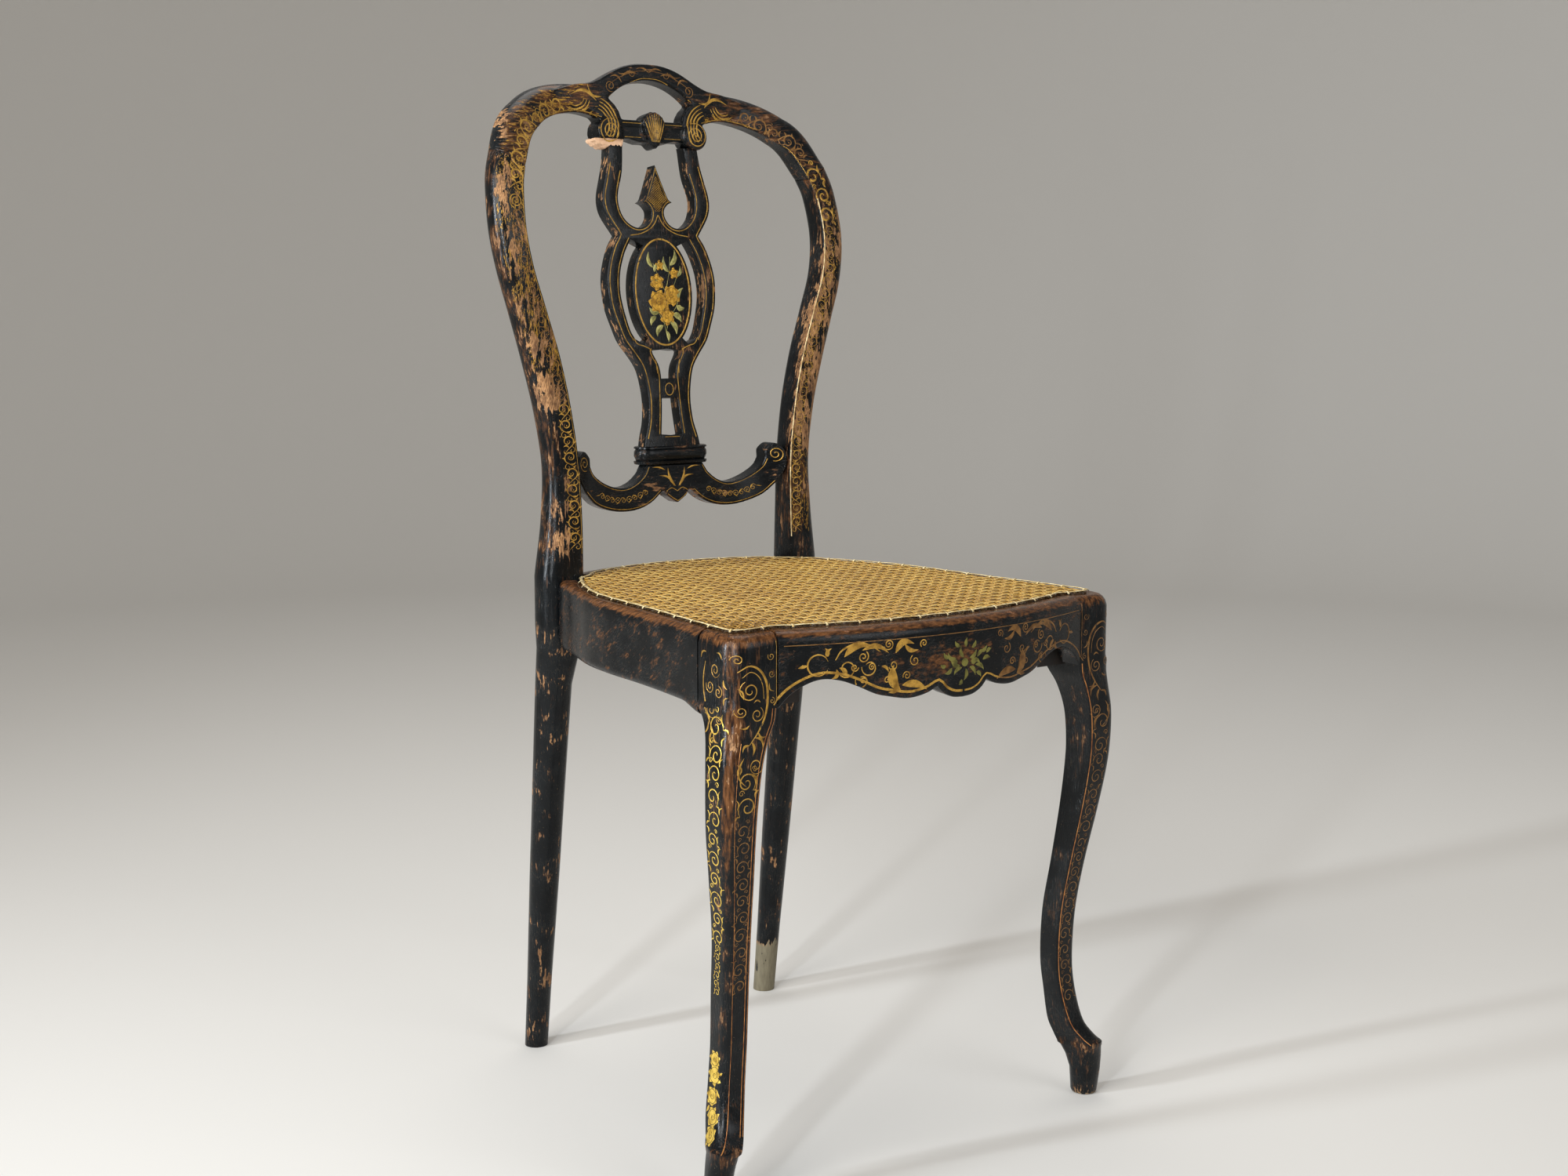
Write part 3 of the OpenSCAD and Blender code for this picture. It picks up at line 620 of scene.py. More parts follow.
def rail_state(obj, worn, inner=(0, -160)):
    p, n = positions(obj), normals(obj)
    smear = 0.3 * (p[:, 1] < -370) * np.exp(-((p[:, 0] + 5) / 40) ** 2 - ((p[:, 2] - 412) / 9) ** 2)
    top_edge = ramp(p[:, 2], SEAT_TOP - 6.5, SEAT_TOP - 1.5)
    out = (p[:, 0] - inner[0]) * n[:, 0] + (p[:, 1] - inner[1]) * n[:, 1] > 0
    lower_edge = ramp(-n[:, 2], 0.5, 0.9)
    clumps = np.array([noise.noise(Vector((q[0] / 40, (q[1] + 0.7 * q[2]) / 34,
                                           (q[2] - 0.7 * q[1]) / 15))) for q in p])
    paint(obj, 0.21 + worn * (0.09 + 0.4 * clumps) * (1 - top_edge) * out + 0.05 * top_edge + 0.06 * lower_edge, 0.0,
          0.28 + 0.5 * top_edge + 0.25 * lower_edge + 0.03 * worn + smear)


apron_line = np.vstack([smooth(part, 6) for part in APRON])
rings = []
for x in np.unique(np.concatenate([np.linspace(-155, 155, 125), [-25, 25, -24.6, 24.6, -25.4, 25.4]])):
    low = np.interp(abs(x), apron_line[:, 0], apron_line[:, 1])
    rim_x = x * 150 / 155
    rings.append(rail_ring((x, front_bow(x, *FRONT_FACE)), (rim_x, front_bow(rim_x, *FRONT_RIM)), low))
front_rail = solid("front_rail_bow", *loft(rings))
rail_state(front_rail, 0.3)
place_piece(front_rail, LACQUER_RAIL, "seat_rail_front")

rings = []
for x in np.linspace(113.6, -113.6, 70):
    rim_x = x * 100 / 113.6
    rings.append(rail_ring((x, back_bow(x, *REAR_FACE)), (rim_x, back_bow(rim_x, *REAR_RIM)), RAIL_BOTTOM))
back_rail = solid("back_rail_bow", *loft(rings))
rail_state(back_rail, 0.2)
place_piece(back_rail, LACQUER_RAIL, "seat_rail_back")


def make_side_rail(side):
    outer = spaced(smooth(OUTER_SIDE, 10), 90)
    rim = spaced(smooth(RIM_SIDE, 10), 90)
    run = np.linspace(0, 1, 90)
    rings = []
    for o, r, t in zip(outer, rim, run):
        low = RAIL_BOTTOM + 1.5 - 5 * (1 - ramp(t, 0, 0.10)) + 2 * math.sin(math.pi * t)
        rings.append(rail_ring(o, r, low + 5 * ramp(t, 0.9, 1.0), 5))
    obj = solid("left_side_rail" if side < 0 else "right_side_rail", *loft(rings, side))
    rail_state(obj, 1.2 if side < 0 else 0.5)
    return obj


place_piece(make_side_rail(-1), LACQUER_RAIL, "seat_rail_left")
place_piece(make_side_rail(1), LACQUER_RAIL, "seat_rail_right")


# ---------- front legs ----------
# Each cabriole leg is sawn from one square of beech and rounded, from the block that takes the rails' dowels down
# to a small round foot. It is japanned, and rubbed at its top, its knee and its foot.

# Each row: inner front edge x, y, z, then width, depth, front corner radius, back corner radius, and how far the
# back of the section leans inwards
CABRIOLE = [(156, -361, 386, 40.5, 47, 17, 3, 0), (157.5, -361, 376, 38.5, 40, 16, 3, 0),
            (163, -361, 363, 34.5, 35, 14, 3, 0), (168.5, -361, 342, 31.5, 31.5, 11, 3, 0),
            (171, -359.5, 315, 29.5, 29.5, 10, 3, 0), (171, -356.5, 290, 28, 28, 9, 3, 0),
            (169, -351, 255, 25.5, 25.5, 8, 3, 0), (165.7, -342.6, 209, 22.5, 22.5, 6.5, 3, 0),
            (162.9, -336, 165, 22, 22, 6, 3, 0), (163.1, -334, 122, 21.5, 21.5, 6, 3, 0),
            (166.3, -336, 93, 21.5, 22, 7, 3, 0), (171.6, -342, 67.5, 21.7, 26, 9, 3, 2),
            (178, -350, 55, 23, 29, 12, 4, 6), (183, -355.5, 49, 25, 31, 15, 5, 10)]
PAD = [(183.2, -355.4, 46.5, 24.8, 31, 15, 7, 10, 3), (184, -354.5, 44.5, 23.6, 30, 14, 9, 9.5, 6),
       (184.6, -353.2, 36, 23.2, 27.5, 12.5, 10, 7, 9), (185, -351.5, 24, 22.8, 24.5, 11.4, 11, 4.4, 11),
       (186, -347.5, 3, 22, 22, 11, 11, 1.6, 11), (187, -346.5, 0.6, 20, 20, 10, 10, 1.2, 10),
       (188.5, -345, 0, 17, 17, 8.5, 8.5, 1, 8.5)]


def square_ring(x, y, z, w, d, front_r, back_r, skew=0.0, inner_r=1.5):
    section = rounded(w, d, [inner_r, front_r, back_r, inner_r], 8)
    return [(x + u - skew * v / d, y + v, z) for u, v in section]


def make_front_leg(side):
    rings = []
    for z, inset in ((441, 11), (441.6, 8), (440.8, 5), (439.2, 3), (436.5, 1.2), (432, 0), (410, 0), (390, 0)):
        rings.append(square_ring(155, -361 + inset, z, 41.5 - inset, 47.6 - inset, max(19 - inset / 2, 8), 2, 2.2))
    rings += [square_ring(*row) for row in smooth(CABRIOLE, 6)]
    rings += [square_ring(*row) for row in PAD]
    obj = solid("left_front_leg" if side < 0 else "right_front_leg", *loft(rings[::-1], side))
    p, n = positions(obj), normals(obj)
    top = ramp(p[:, 2], SEAT_TOP - 12, SEAT_TOP - 2)
    corner = ramp(side * n[:, 0] - n[:, 1], 1.2, 1.41)
    knee = np.exp(-((p[:, 2] - 340) / 70) ** 2) * corner * (side < 0)
    sole = 1 - ramp(p[:, 2], 0.5, 4)
    toe = np.exp(-((p[:, 2] - 47) / 5) ** 2)
    peel = 0.25 + 0.09 * top + 0.29 * sole + 0.07 * knee + 0.1 * toe
    paint(obj, peel, 0.05, 0.27 + 0.46 * top + 0.5 * knee + 0.2 * toe, 0.8 * sole)
    return obj


left_front_leg = place_piece(make_front_leg(-1), LACQUER_UP, "front_leg_left")
right_front_leg = place_piece(make_front_leg(1), LACQUER_UP, "front_leg_right")


# ---------- gilding of the stiles and the crest rail ----------
# Scrolls, leaves and lines are painted freehand in gold leaf and bronze over the lacquer of the hooped back, where
# they stand a hair proud. They have dimmed, and worn through to the black in places. Dark lines are drawn over the
# gold.

CAST_FROM, CAST_REACH = 600, 1200
LOOKS = {"front": (lambda a, b: (a, -CAST_FROM, b), (0, 1, 0)), "left": (lambda a, b: (-CAST_FROM, a, b), (1, 0, 0))}


def gilding(name, dark, light, gap):
    """Gold leaf or bronze on the lacquer: a soft metal gleam in uneven patches, worn through to the black."""
    material, tree = new_material(name)
    plain = add(tree, "ShaderNodeTexCoord", {})["Object"]
    # Sizes in mm: patches of wear, and brush marks drawn coarser than their real 0.2 mm to show
    patch, fine = [add(tree, "ShaderNodeTexNoise", {"Vector": plain, "Scale": 1 / (size * MM), "Detail": detail,
                                                    "Roughness": 0.6})["Fac"]
                   for size, detail in ((6.25, 5), (0.769231, 3))]
    level = 0.0
    for value, share in ((patch, 0.6), (fine, 0.4)):
        level = add(tree, "ShaderNodeMath", {0: value, 1: share, 2: level}, operation="MULTIPLY_ADD")[0]
    lost = add(tree, "ShaderNodeMapRange", {0: level, 1: gap, 2: gap + 0.04}, interpolation_type="SMOOTHSTEP")[0]
    bright, metal, rough = [
        add(tree, "ShaderNodeMapRange", {0: value, 1: low, 2: high, 3: at_low, 4: at_high},
            interpolation_type="SMOOTHSTEP")[0]
        for value, low, high, at_low, at_high in ((patch, 0.3, 0.65, 0.0, 1.0), (lost, 0.0, 1.0, 0.5, 0.0),
                                                  (fine, 0.3, 0.7, 0.3, 0.5))]
    skin = add(tree, "ShaderNodeMix", {0: bright, 6: colour(dark), 7: colour(light)}, data_type="RGBA")[2]
    skin = add(tree, "ShaderNodeMix", {0: lost, 6: skin, 7: colour("#17130d")}, data_type="RGBA")[2]
    bump = add(tree, "ShaderNodeBump", {"Height": fine, "Strength": 0.35, "Distance": 0.3 * MM})[0]
    shader = add(tree, "ShaderNodeBsdfPrincipled", {"Base Color": skin, "Metallic": metal, "Roughness": rough,
                                                    "Normal": bump})[0]
    add(tree, "ShaderNodeOutputMaterial", {"Surface": shader})
    return material


GOLD = gilding("gold_leaf", "#7f5c1d", "#c49840", 0.585)
# A cream gilding for the right stile's inner front edge: a painted highlight of the light that edge catches
PAINTED_EDGE_HIGHLIGHT = gilding("painted_edge_highlight", "#a07c48", "#e4cf9f", 0.62)
DIM_GOLD = gilding("dim_copper_gold", "#573818", "#946a35", 0.57)
INK = gilding("worn_lines", "#160f09", "#24180e", 0.75)


def length_of(line):
    return float(np.linalg.norm(np.diff(np.array(line), axis=0), axis=1).sum())


def spiral(x, y, r, start, turns, end_r=0.15):
    """A curl that starts at radius r, at an angle in degrees; turns below 0 run clockwise."""
    t = np.linspace(0, 1, max(8, int(abs(turns) * 22)))
    angle = math.radians(start) + 2 * math.pi * turns * t
    radius = r * (1 + (end_r - 1) * t)
    return np.stack([x + radius * np.cos(angle), y + radius * np.sin(angle)], axis=1)


def line(points, width, taper=0.0):
    """A stroke of even width, thinned towards its ends by taper from 0 to 1."""
    points = np.array(points, float)
    t = np.linspace(-1, 1, len(points))
    return points, width * (1 - taper * np.abs(t) ** 2)


def leaf(base, tip, width, bend=0.0):
    """A pointed leaf with its midrib bent sideways."""
    base, tip = np.array(base, float), np.array(tip, float)
    side = np.array([base[1] - tip[1], tip[0] - base[0]])
    t = np.linspace(0, 1, 9)[:, None]
    points = base + (tip - base) * t + side * bend * np.sin(math.pi * t)
    return points, width * np.maximum(np.sin(math.pi * t[:, 0] ** 0.8), 0.06)


def blob(x, y, r):
    t = np.linspace(-1, 1, 9)
    return np.stack([x + r * t, np.full(9, y)], axis=1), 2 * r * np.sqrt(np.maximum(1 - t * t, 0.02))


def scroll(start, size, up, w):
    """One acanthus scroll of a running band: a swelling stem that curls in, a smaller curl, leaves and a bud."""
    def at(points):
        return [(start + size * a, up * size * b) for a, b in points]
    stem = smooth(at([(0, -0.30), (0.22, -0.05), (0.45, 0.30), (0.72, 0.33), (0.90, 0.08), (0.80, -0.20),
                      (0.58, -0.22), (0.50, -0.02), (0.62, 0.12), (0.72, 0.03)]), 5)
    curl = smooth(at([(0.36, 0.18), (0.22, 0.34), (0.06, 0.32), (0.02, 0.16), (0.12, 0.08), (0.18, 0.17)]), 5)
    return [line(stem, w * 1.25, 0.75), line(curl, w * 0.8, 0.5),
            leaf(*at([(0.50, 0.30), (0.66, 0.52)]), w * 1.7, 0.2),
            leaf(*at([(0.86, 0.16), (1.05, 0.36)]), w * 1.5, -0.2),
            leaf(*at([(0.30, 0.02), (0.38, -0.34)]), w * 1.6, 0.25), blob(*at([(0.62, -0.05)])[0], w * 0.55),
            blob(*at([(0.10, 0.45)])[0], w * 0.5)]


def vine(start, end, size, w, seed=1):
    """C scrolls set back to back along a band, no two alike, with leaves and small curls between them."""
    draw = random.Random(seed)
    strokes, at, side = [], start, 1
    while at < end - 0.3 * size:
        r = size * draw.uniform(0.33, 0.42)
        x, y = at + r, side * size * draw.uniform(-0.02, 0.1)
        turns, first = draw.uniform(1.25, 1.6), draw.uniform(215, 255)
        strokes.append(line(spiral(x, y, r, side * first, side * turns, 0.14), w * 1.35, 0.7))
        root = (x + r * math.cos(math.radians(first)), y + side * r * math.sin(math.radians(first)))
        strokes.append(leaf(root, (root[0] - 0.35 * r, root[1] - side * 0.45 * r), w * 1.7, 0.3 * side))
        strokes.append(leaf((x + 0.75 * r, y + side * 0.75 * r), (x + 1.5 * r, y + side * 1.15 * r), w * 1.9,
                            -0.3 * side))
        strokes.append(leaf((x - 0.1 * r, y - side * 1.05 * r), (x + 0.8 * r, y - side * 1.25 * r), w * 1.5,
                            0.25 * side))
        strokes.append(line(spiral(x + 1.25 * r, y - side * 0.7 * r, 0.3 * r, 90 * side, -1.3 * side, 0.2), w * 0.8,
                            0.4))
        at += 2 * r + size * draw.uniform(0.06, 0.14)
        side = -side
    return strokes


def running(start, end, size, w, first=1):
    """Scrolls that alternate sides along a band."""
    count = max(1, round((end - start) / (0.86 * size)))
    step = (end - start) / count
    return [stroke for k in range(count) for stroke in scroll(start + k * step, size, first * (-1) ** k, w)]


def along(guide, strokes):
    """Lays strokes drawn along a straight band onto a curved guide line."""
    guide = np.array(guide, float)
    run = np.concatenate([[0], np.cumsum(np.linalg.norm(np.diff(guide, axis=0), axis=1))])
    slope = np.gradient(guide, run, axis=0)
    slope /= np.linalg.norm(slope, axis=1)[:, None]
    laid = []
    for points, width in strokes:
        place = [np.interp(points[:, 0], run, guide[:, k]) for k in (0, 1)]
        way = [np.interp(points[:, 0], run, slope[:, k]) for k in (0, 1)]
        across = points[:, 1]
        laid.append((np.stack([place[0] - way[1] * across, place[1] + way[0] * across], axis=1), width))
    return laid


def offset_line(points, d):
    """A line moved sideways, to its left where d is above 0."""
    points = np.array(points, float)
    way = np.gradient(points, axis=0)
    way /= np.maximum(np.linalg.norm(way, axis=1), 1e-6)[:, None]
    return points + d * np.stack([-way[:, 1], way[:, 0]], axis=1)


def turned(strokes, scale=(1, 1), move=(0, 0)):
    return [(points * scale + move, width) for points, width in strokes]


def surface(*objects):
    """The wood that paint is laid on."""
    points, faces, first = [], [], 0
    for obj in objects:
        found = positions(obj)
        points.extend(found.tolist())
        faces.extend([tuple(v + first for v in f.vertices) for f in obj.data.polygons])
        first += len(found)
    return BVHTree.FromPolygons(points, faces)


def painted(name, wood, strokes, material, look="front", height=0.14, step=1.1):
    """Lays strokes on the wood as thin closed ribbons, and makes them one piece."""
    origin, ray = LOOKS[look]
    ray = Vector(ray)
    verts, faces = [], []

    def close(run):
        if len(run) < 2:
            return
        first = len(verts)
        for ring in run:
            verts.extend(ring)
        for k in range(len(run) - 1):
            for c in range(4):
                a, b = first + 4 * k + c, first + 4 * k + (c + 1) % 4
                faces.append((a, b, b + 4, a + 4))
        faces.append(tuple(range(first + 3, first - 1, -1)))
        last = first + 4 * (len(run) - 1)
        faces.append(tuple(range(last, last + 4)))

    for points, width in strokes:
        count = max(3, int(length_of(points) / step) + 1)
        data = spaced(np.column_stack([points, np.broadcast_to(width, len(points))]), count)
        way = np.gradient(data[:, :2], axis=0)
        way /= np.maximum(np.linalg.norm(way, axis=1), 1e-6)[:, None]
        across = np.stack([-way[:, 1], way[:, 0]], axis=1) * data[:, 2:3] / 2
        run, depth = [], None
        for centre, half in zip(data[:, :2], across):
            hits = [wood.ray_cast(Vector(origin(*q)), ray, CAST_REACH) for q in (centre + half, centre,
                                                                                 centre - half)]
            places = [h[0] for h in hits]
            widest = 2.2 * max(0.6, float(np.linalg.norm(half)))
            good = None not in places and all((places[k] - places[1]).length < widest for k in (0, 2))
            if good and depth is not None and (places[1] - depth).length > 4 * step + 1:
                good = False
            if not good:
                close(run)
                run, depth = [], None
                continue
            depth = places[1]
            normal = sum((h[1] for h in hits), Vector()).normalized()
            run.append([tuple(places[0] - normal * 0.1), tuple(places[1] - normal * 0.25),
                        tuple(places[2] - normal * 0.1), tuple(places[1] + normal * height)])
        close(run)
    obj = solid(name, verts, faces, flat=True)
    work = bmesh.new()
    work.from_mesh(obj.data)
    bmesh.ops.recalc_face_normals(work, faces=work.faces)
    work.to_mesh(obj.data)
    work.free()
    return place_piece(obj, material)


hoop_edge = np.vstack([post_line[post_line[:, 2] > 462][:, [0, 2]], crest_arm_line[2:][:, [0, 2]]])
hoop_edge = hoop_edge[np.concatenate([[True], np.linalg.norm(np.diff(hoop_edge, axis=0), axis=1) > 1.5])]
hoop_edge = spaced(hoop_edge, 240)
hoop_length = length_of(hoop_edge)
back_wood = surface(left_post, right_post, crest)


def hoop_band(side, strokes, inset=8.6):
    guide = offset_line(hoop_edge, -inset)
    return turned(along(guide, strokes), scale=(side, 1))


hoop_line = [line(offset_line(hoop_edge, -1.7), 0.9)]
# The right stile's inner front edge gets a cream line, which is a painted highlight of the edge
highlight_edge_line = spaced(hoop_edge[:int(0.7 * len(hoop_edge))], 120)
painted("right_stile_painted_highlight", back_wood, [line(offset_line(highlight_edge_line, -1.4), 1.8)], PAINTED_EDGE_HIGHLIGHT, height=0.35)
painted("hoop_inner_lines", back_wood, turned(hoop_line, (-1, 1)) + turned(hoop_line), GOLD)
right_scrolls = hoop_band(1, running(4, 92, 15, 1.6), 8.2)
right_scrolls += hoop_band(1, running(92, 294, 14, 0.9))
painted("right_stile_scrolls", back_wood, right_scrolls, GOLD)
painted("right_shoulder_scrolls", back_wood, hoop_band(1, vine(296, 356, 23, 2.4, 12), 8.4), GOLD, height=0.2)
painted("right_arm_scrolls", back_wood, hoop_band(1, running(354, hoop_length - 34, 18, 1.9)), DIM_GOLD)
right_veins = hoop_band(1, running(8, 92, 13, 0.8, -1) + running(270, 350, 12, 0.8, -1), 9.5)
painted("right_stile_dark_scrolls", back_wood, right_veins, INK, height=0.2)
left_scrolls = hoop_band(-1, running(4, 130, 16, 1.5) + running(318, hoop_length - 30, 19, 2.2))
left_scrolls += hoop_band(-1, [line(spiral(308, 0, 6.5, 200, 2.2), 1.5)])
painted("left_stile_scrolls", back_wood, left_scrolls, GOLD)
painted("left_stile_worn_scrolls", back_wood, hoop_band(-1, running(130, 300, 15, 1.0)), DIM_GOLD)

crest_gold, crest_ink, crest_dim = [], [], []
for side in (-1, 1):
    bands = [line(arc(61, 838, r, r, 108, 212 + (22 - r) * 2, 18), 2.5, 0.5) for r in (23.5, 20.3, 17.1, 13.9)]
    bands += [line(arc(80, 862, r, r, 196, 300, 16), 2.3, 0.6) for r in (15.5, 12.6, 9.6)]
    bands += [line(spiral(46, 832, 11.6, 110, -2.3, 0.12), 2.0, 0.2), blob(46, 832, 1.8)]
    bands += [leaf((58, 858), (84, 862), 5, 0.25), leaf((66, 852), (90, 852), 4.5, -0.2),
              leaf((52, 862), (66, 872), 3.5, -0.3)]
    crest_gold += turned(bands, (side, 1))
    crest_dim += turned([line(arc(0, 816.3, 71.5, 71.5, 52, 90, 14), 0.9),
                         line(spiral(42, 872, 5.5, 240, 1.6), 1.3), line(spiral(18, 884.5, 3.6, 60, -1.4), 1.1),
                         leaf((12, 884), (30, 880), 3.2, 0.2), leaf((0, 886), (14, 888.5), 3, 0.2),
                         leaf((30, 876), (42, 880), 3, 0.3), leaf((22, 887), (34, 884.5), 2.4, -0.2)], (side, 1))
    crest_gold += turned([line(smooth([(44, 862.6), (38, 866.8), (24, 874.8), (10, 880.1), (0, 881)], 5), 1.0),
                          line(smooth([(112, 841.2), (95.6, 846.4), (75, 848.6), (60, 845), (56, 841)], 5), 1.0),
                          line([(12.5, 840.4), (32, 840.4)], 0.9), line([(12.5, 828), (30, 828)], 0.9)], (side, 1))
    crest_ink += turned([line(arc(61, 838, r, r, 112, 205, 16), 0.7) for r in (21.9, 18.7, 15.5)] +
                        [line(arc(80, 862, r, r, 200, 295, 14), 0.7) for r in (14, 11.1)], (side, 1))
shell_flutes = [leaf((0.35 * x, 824), (x, 838.5 + math.sqrt(max(11.6 ** 2 - x * x, 0)) * 0.98), 2.6) for x in
                np.linspace(-10.5, 10.5, 9)]
crest_ink += [line([(0.32 * x, 826), (x, 838.5 + math.sqrt(max(11 ** 2 - x * x, 0)) * 0.9)], 0.7) for x in
              np.linspace(-9.2, 9.2, 8)]
crest_gold += shell_flutes + [line(np.column_stack([12 * np.cos(np.radians(np.arange(-20, 201, 11))),
                                                   838.5 + 12.2 * np.sin(np.radians(np.arange(-20, 201, 11)))]), 1.1)]
painted("crest_scrolls", back_wood, crest_gold, GOLD)
painted("crest_dark_lines", back_wood, crest_ink, INK, height=0.22)
painted("crest_dim_foliage", back_wood, crest_dim, DIM_GOLD)


# ---------- gilding of the splat, its shoe and the cross rail ----------
# Gold lines follow the fretted edges, and the spade is hatched. The oval holds a bunch of roses in rose gold with
# leaves in pale green gold, painted over the lacquer and then drawn over in dark lines.

PALE_GOLD = gilding("pale_green_gold", "#6f6c38", "#b9b16b", 0.62)
ROSE_GOLD = gilding("rose_gold", "#8f661c", "#d3a136", 0.64)
splat_wood = surface(splat, shoe, cross)
inner_contour = np.vstack([smooth(SPADE, 4)[:-1], smooth(HOLLOW[:-1], 5)])
outer_contour = np.vstack([smooth(ARM_OUTSIDE[1:], 5)[:-1], smooth(BODY_OUTSIDE[:-1], 5)])
borders = [line(offset_line(smooth(SPADE, 4)[:-1], -1.3), 1.1), line(offset_line(inner_contour[16:], -2.0), 1.4),
           line(offset_line(outer_contour, -2.4), 1.5), line(offset_line(smooth(SLOT_OUTSIDE, 5), 2.3), 1.3),
           line(offset_line(slot_half[3:], 2.2), 1.3), line(smooth([(31, 740.5), (20, 742.2), (10, 746.5), (4, 752),
                                                                    (0.3, 759)], 5), 1.4),
           line(smooth([(35.5, 651), (31.5, 644), (24, 641.5), (16.5, 637.5), (12.8, 628), (11.6, 617)], 5), 1.4)]
borders = borders + turned(borders, (-1, 1))
borders += [line(arc(0, 690, 29.2, 47.6, 0, 360, 90), 2.6), line(arc(0, 602.5, 4.4, 5.4, 0, 360, 26), 1.2),
            line([(-8, 559.5), (8, 559.5)], 1.2)]
painted("splat_border_lines", splat_wood, borders, GOLD)

spade_edge = smooth([(0, 800), (4.2, 790), (7.8, 780.5), (10.5, 775.2), (13, 772.6), (8.5, 769.2), (5, 765),
                     (4.4, 760)], 4)
hatch = []
for k in range(-14, 15):
    for slant in (-1, 1):
        cells = [(x, 780 + 2.1 * k + slant * x * 0.8) for x in np.linspace(-14, 14, 57)]
        inside = [q for q in cells if 762 < q[1] < 798 and
                  abs(q[0]) < np.interp(q[1], spade_edge[::-1, 1], spade_edge[::-1, 0]) - 1.6]
        if len(inside) > 2:
            hatch.append(line(inside, 0.62))
painted("spade_hatching", splat_wood, hatch, GOLD, step=1.6)

# A bunch of flowers in the oval
stems = [line(smooth(q, 5), 0.7) for q in ([(1, 652), (-1, 668), (3, 690), (8, 708), (10, 722)],
                                           [(1, 655), (6, 668), (12, 675), (17, 684)],
                                           [(-1, 662), (-7, 672), (-12, 668)], [(3, 690), (-4, 704), (-9, 716)],
                                           [(2, 682), (12, 696), (17, 706)])]
leaves = [leaf(*q) for q in (((8, 708), (3, 722), 5, 0.2), ((9, 714), (15, 728), 5.5, -0.2),
                             ((-9, 712), (-13, 726), 4.5, 0.2), ((-8, 708), (-1, 716), 4.5, 0.2),
                             ((16, 682), (22, 694), 5.5, 0.2), ((14, 678), (22, 676), 6.5, -0.2),
                             ((9, 670), (18, 663), 6.5, 0.2), ((5, 664), (12, 652), 6, 0.2),
                             ((-2, 660), (-9, 650), 6, -0.2), ((-6, 672), (-16, 676), 6, 0.2),
                             ((-9, 668), (-15, 660), 5.5, -0.2), ((1, 655), (3, 645), 4.5, 0.1),
                             ((-4, 698), (-12, 700), 4.5, -0.2), ((16, 704), (20, 714), 4, -0.2))]
leaves = [(points, width * 1.35) for points, width in leaves]
veins = [(points[1:-1], np.full(len(points) - 2, 0.45)) for points, width in leaves]


def bloom(x, y, r, petals):
    """A full rose: petals round a heart, and the dark lines between them."""
    out = [leaf((x + 0.2 * r * math.cos(a), y + 0.2 * r * math.sin(a)), (x + r * math.cos(a), y + r * math.sin(a)),
                r * 1.15, 0.1) for a in np.radians(np.arange(petals) * 360 / petals + 20)]
    ink = [line(arc(x + 0.1 * r * math.cos(a), y + 0.1 * r * math.sin(a), 0.62 * r, 0.62 * r, math.degrees(a) - 40,
                    math.degrees(a) + 45, 6), 0.8, 0.5) for a in np.radians(np.arange(petals) * 360 / petals + 50)]
    return out + [blob(x, y, r * 0.45)], ink + [line(spiral(x, y, r * 0.38, 30, 1.3), 0.65)]


roses, rose_ink = [], []
for x, y, r, petals in ((-5, 681, 11.5, 7), (9, 687, 10, 7), (-6, 699, 8, 6), (3, 668, 8.5, 6), (13, 707, 5.5, 5),
                        (-2, 714, 5, 5)):
    petals_made, ink_made = bloom(x, y, r, petals)
    roses += petals_made
    rose_ink += ink_made
painted("flower_stems", splat_wood, stems, PALE_GOLD)
painted("flower_leaves", splat_wood, leaves, PALE_GOLD, height=0.18)
painted("flower_blooms", splat_wood, roses, ROSE_GOLD, height=0.24)
painted("flower_drawing", splat_wood, veins + rose_ink, INK, height=0.36)

cross_top = smooth([(31, 534), (35, 527), (44, 520), (55, 516), (67, 517), (80, 522), (91, 529.5), (95.5, 537)], 5)
cross_low = smooth(CROSS_LOW, 5)
middle = smooth([(24, 516), (38, 509), (55, 505), (72, 506), (88, 513), (100, 522)], 6)
cross_lines = [line(offset_line(cross_top, -2.0), 1.0), line(offset_line(cross_low, -2.2), 1.0),
               line(spiral(104.3, 540.5, 7.0, 250, 1.7, 0.15), 1.3), leaf((1.5, 515), (9, 532), 4.6, -0.12),
               leaf((3, 515), (19, 525), 3.4, 0.2), leaf((12, 530), (26, 532.5), 2.4, 0.1),
               line(smooth([(0, 501.5), (6, 505), (11.5, 510), (6, 513.5), (0, 510.5)], 5), 1.0)]
cross_lines += along(middle, [line(spiral(s, 0, 3.2, 150 * (k % 2), 1.4 * (-1) ** k), 0.8) for k, s in
                              enumerate(np.arange(12, 62, 6.2))])
cross_lines += along(middle, [leaf((s, 0), (s + 4.5, 3.2 * (-1) ** k), 1.4) for k,
                              s in enumerate(np.arange(9, 66, 6.2))])
painted("cross_rail_gilding", splat_wood, cross_lines + turned(cross_lines, (-1, 1)), GOLD)


# ---------- gilding of the front rail and the front legs ----------
# Gold scrolls and leaves run along the front rail to a green-gold bunch in its middle, and down both front legs.
# The far side has dimmed, the left leg's outside is bright, and the legs' edges are rubbed to a line of bare orange
# wood.

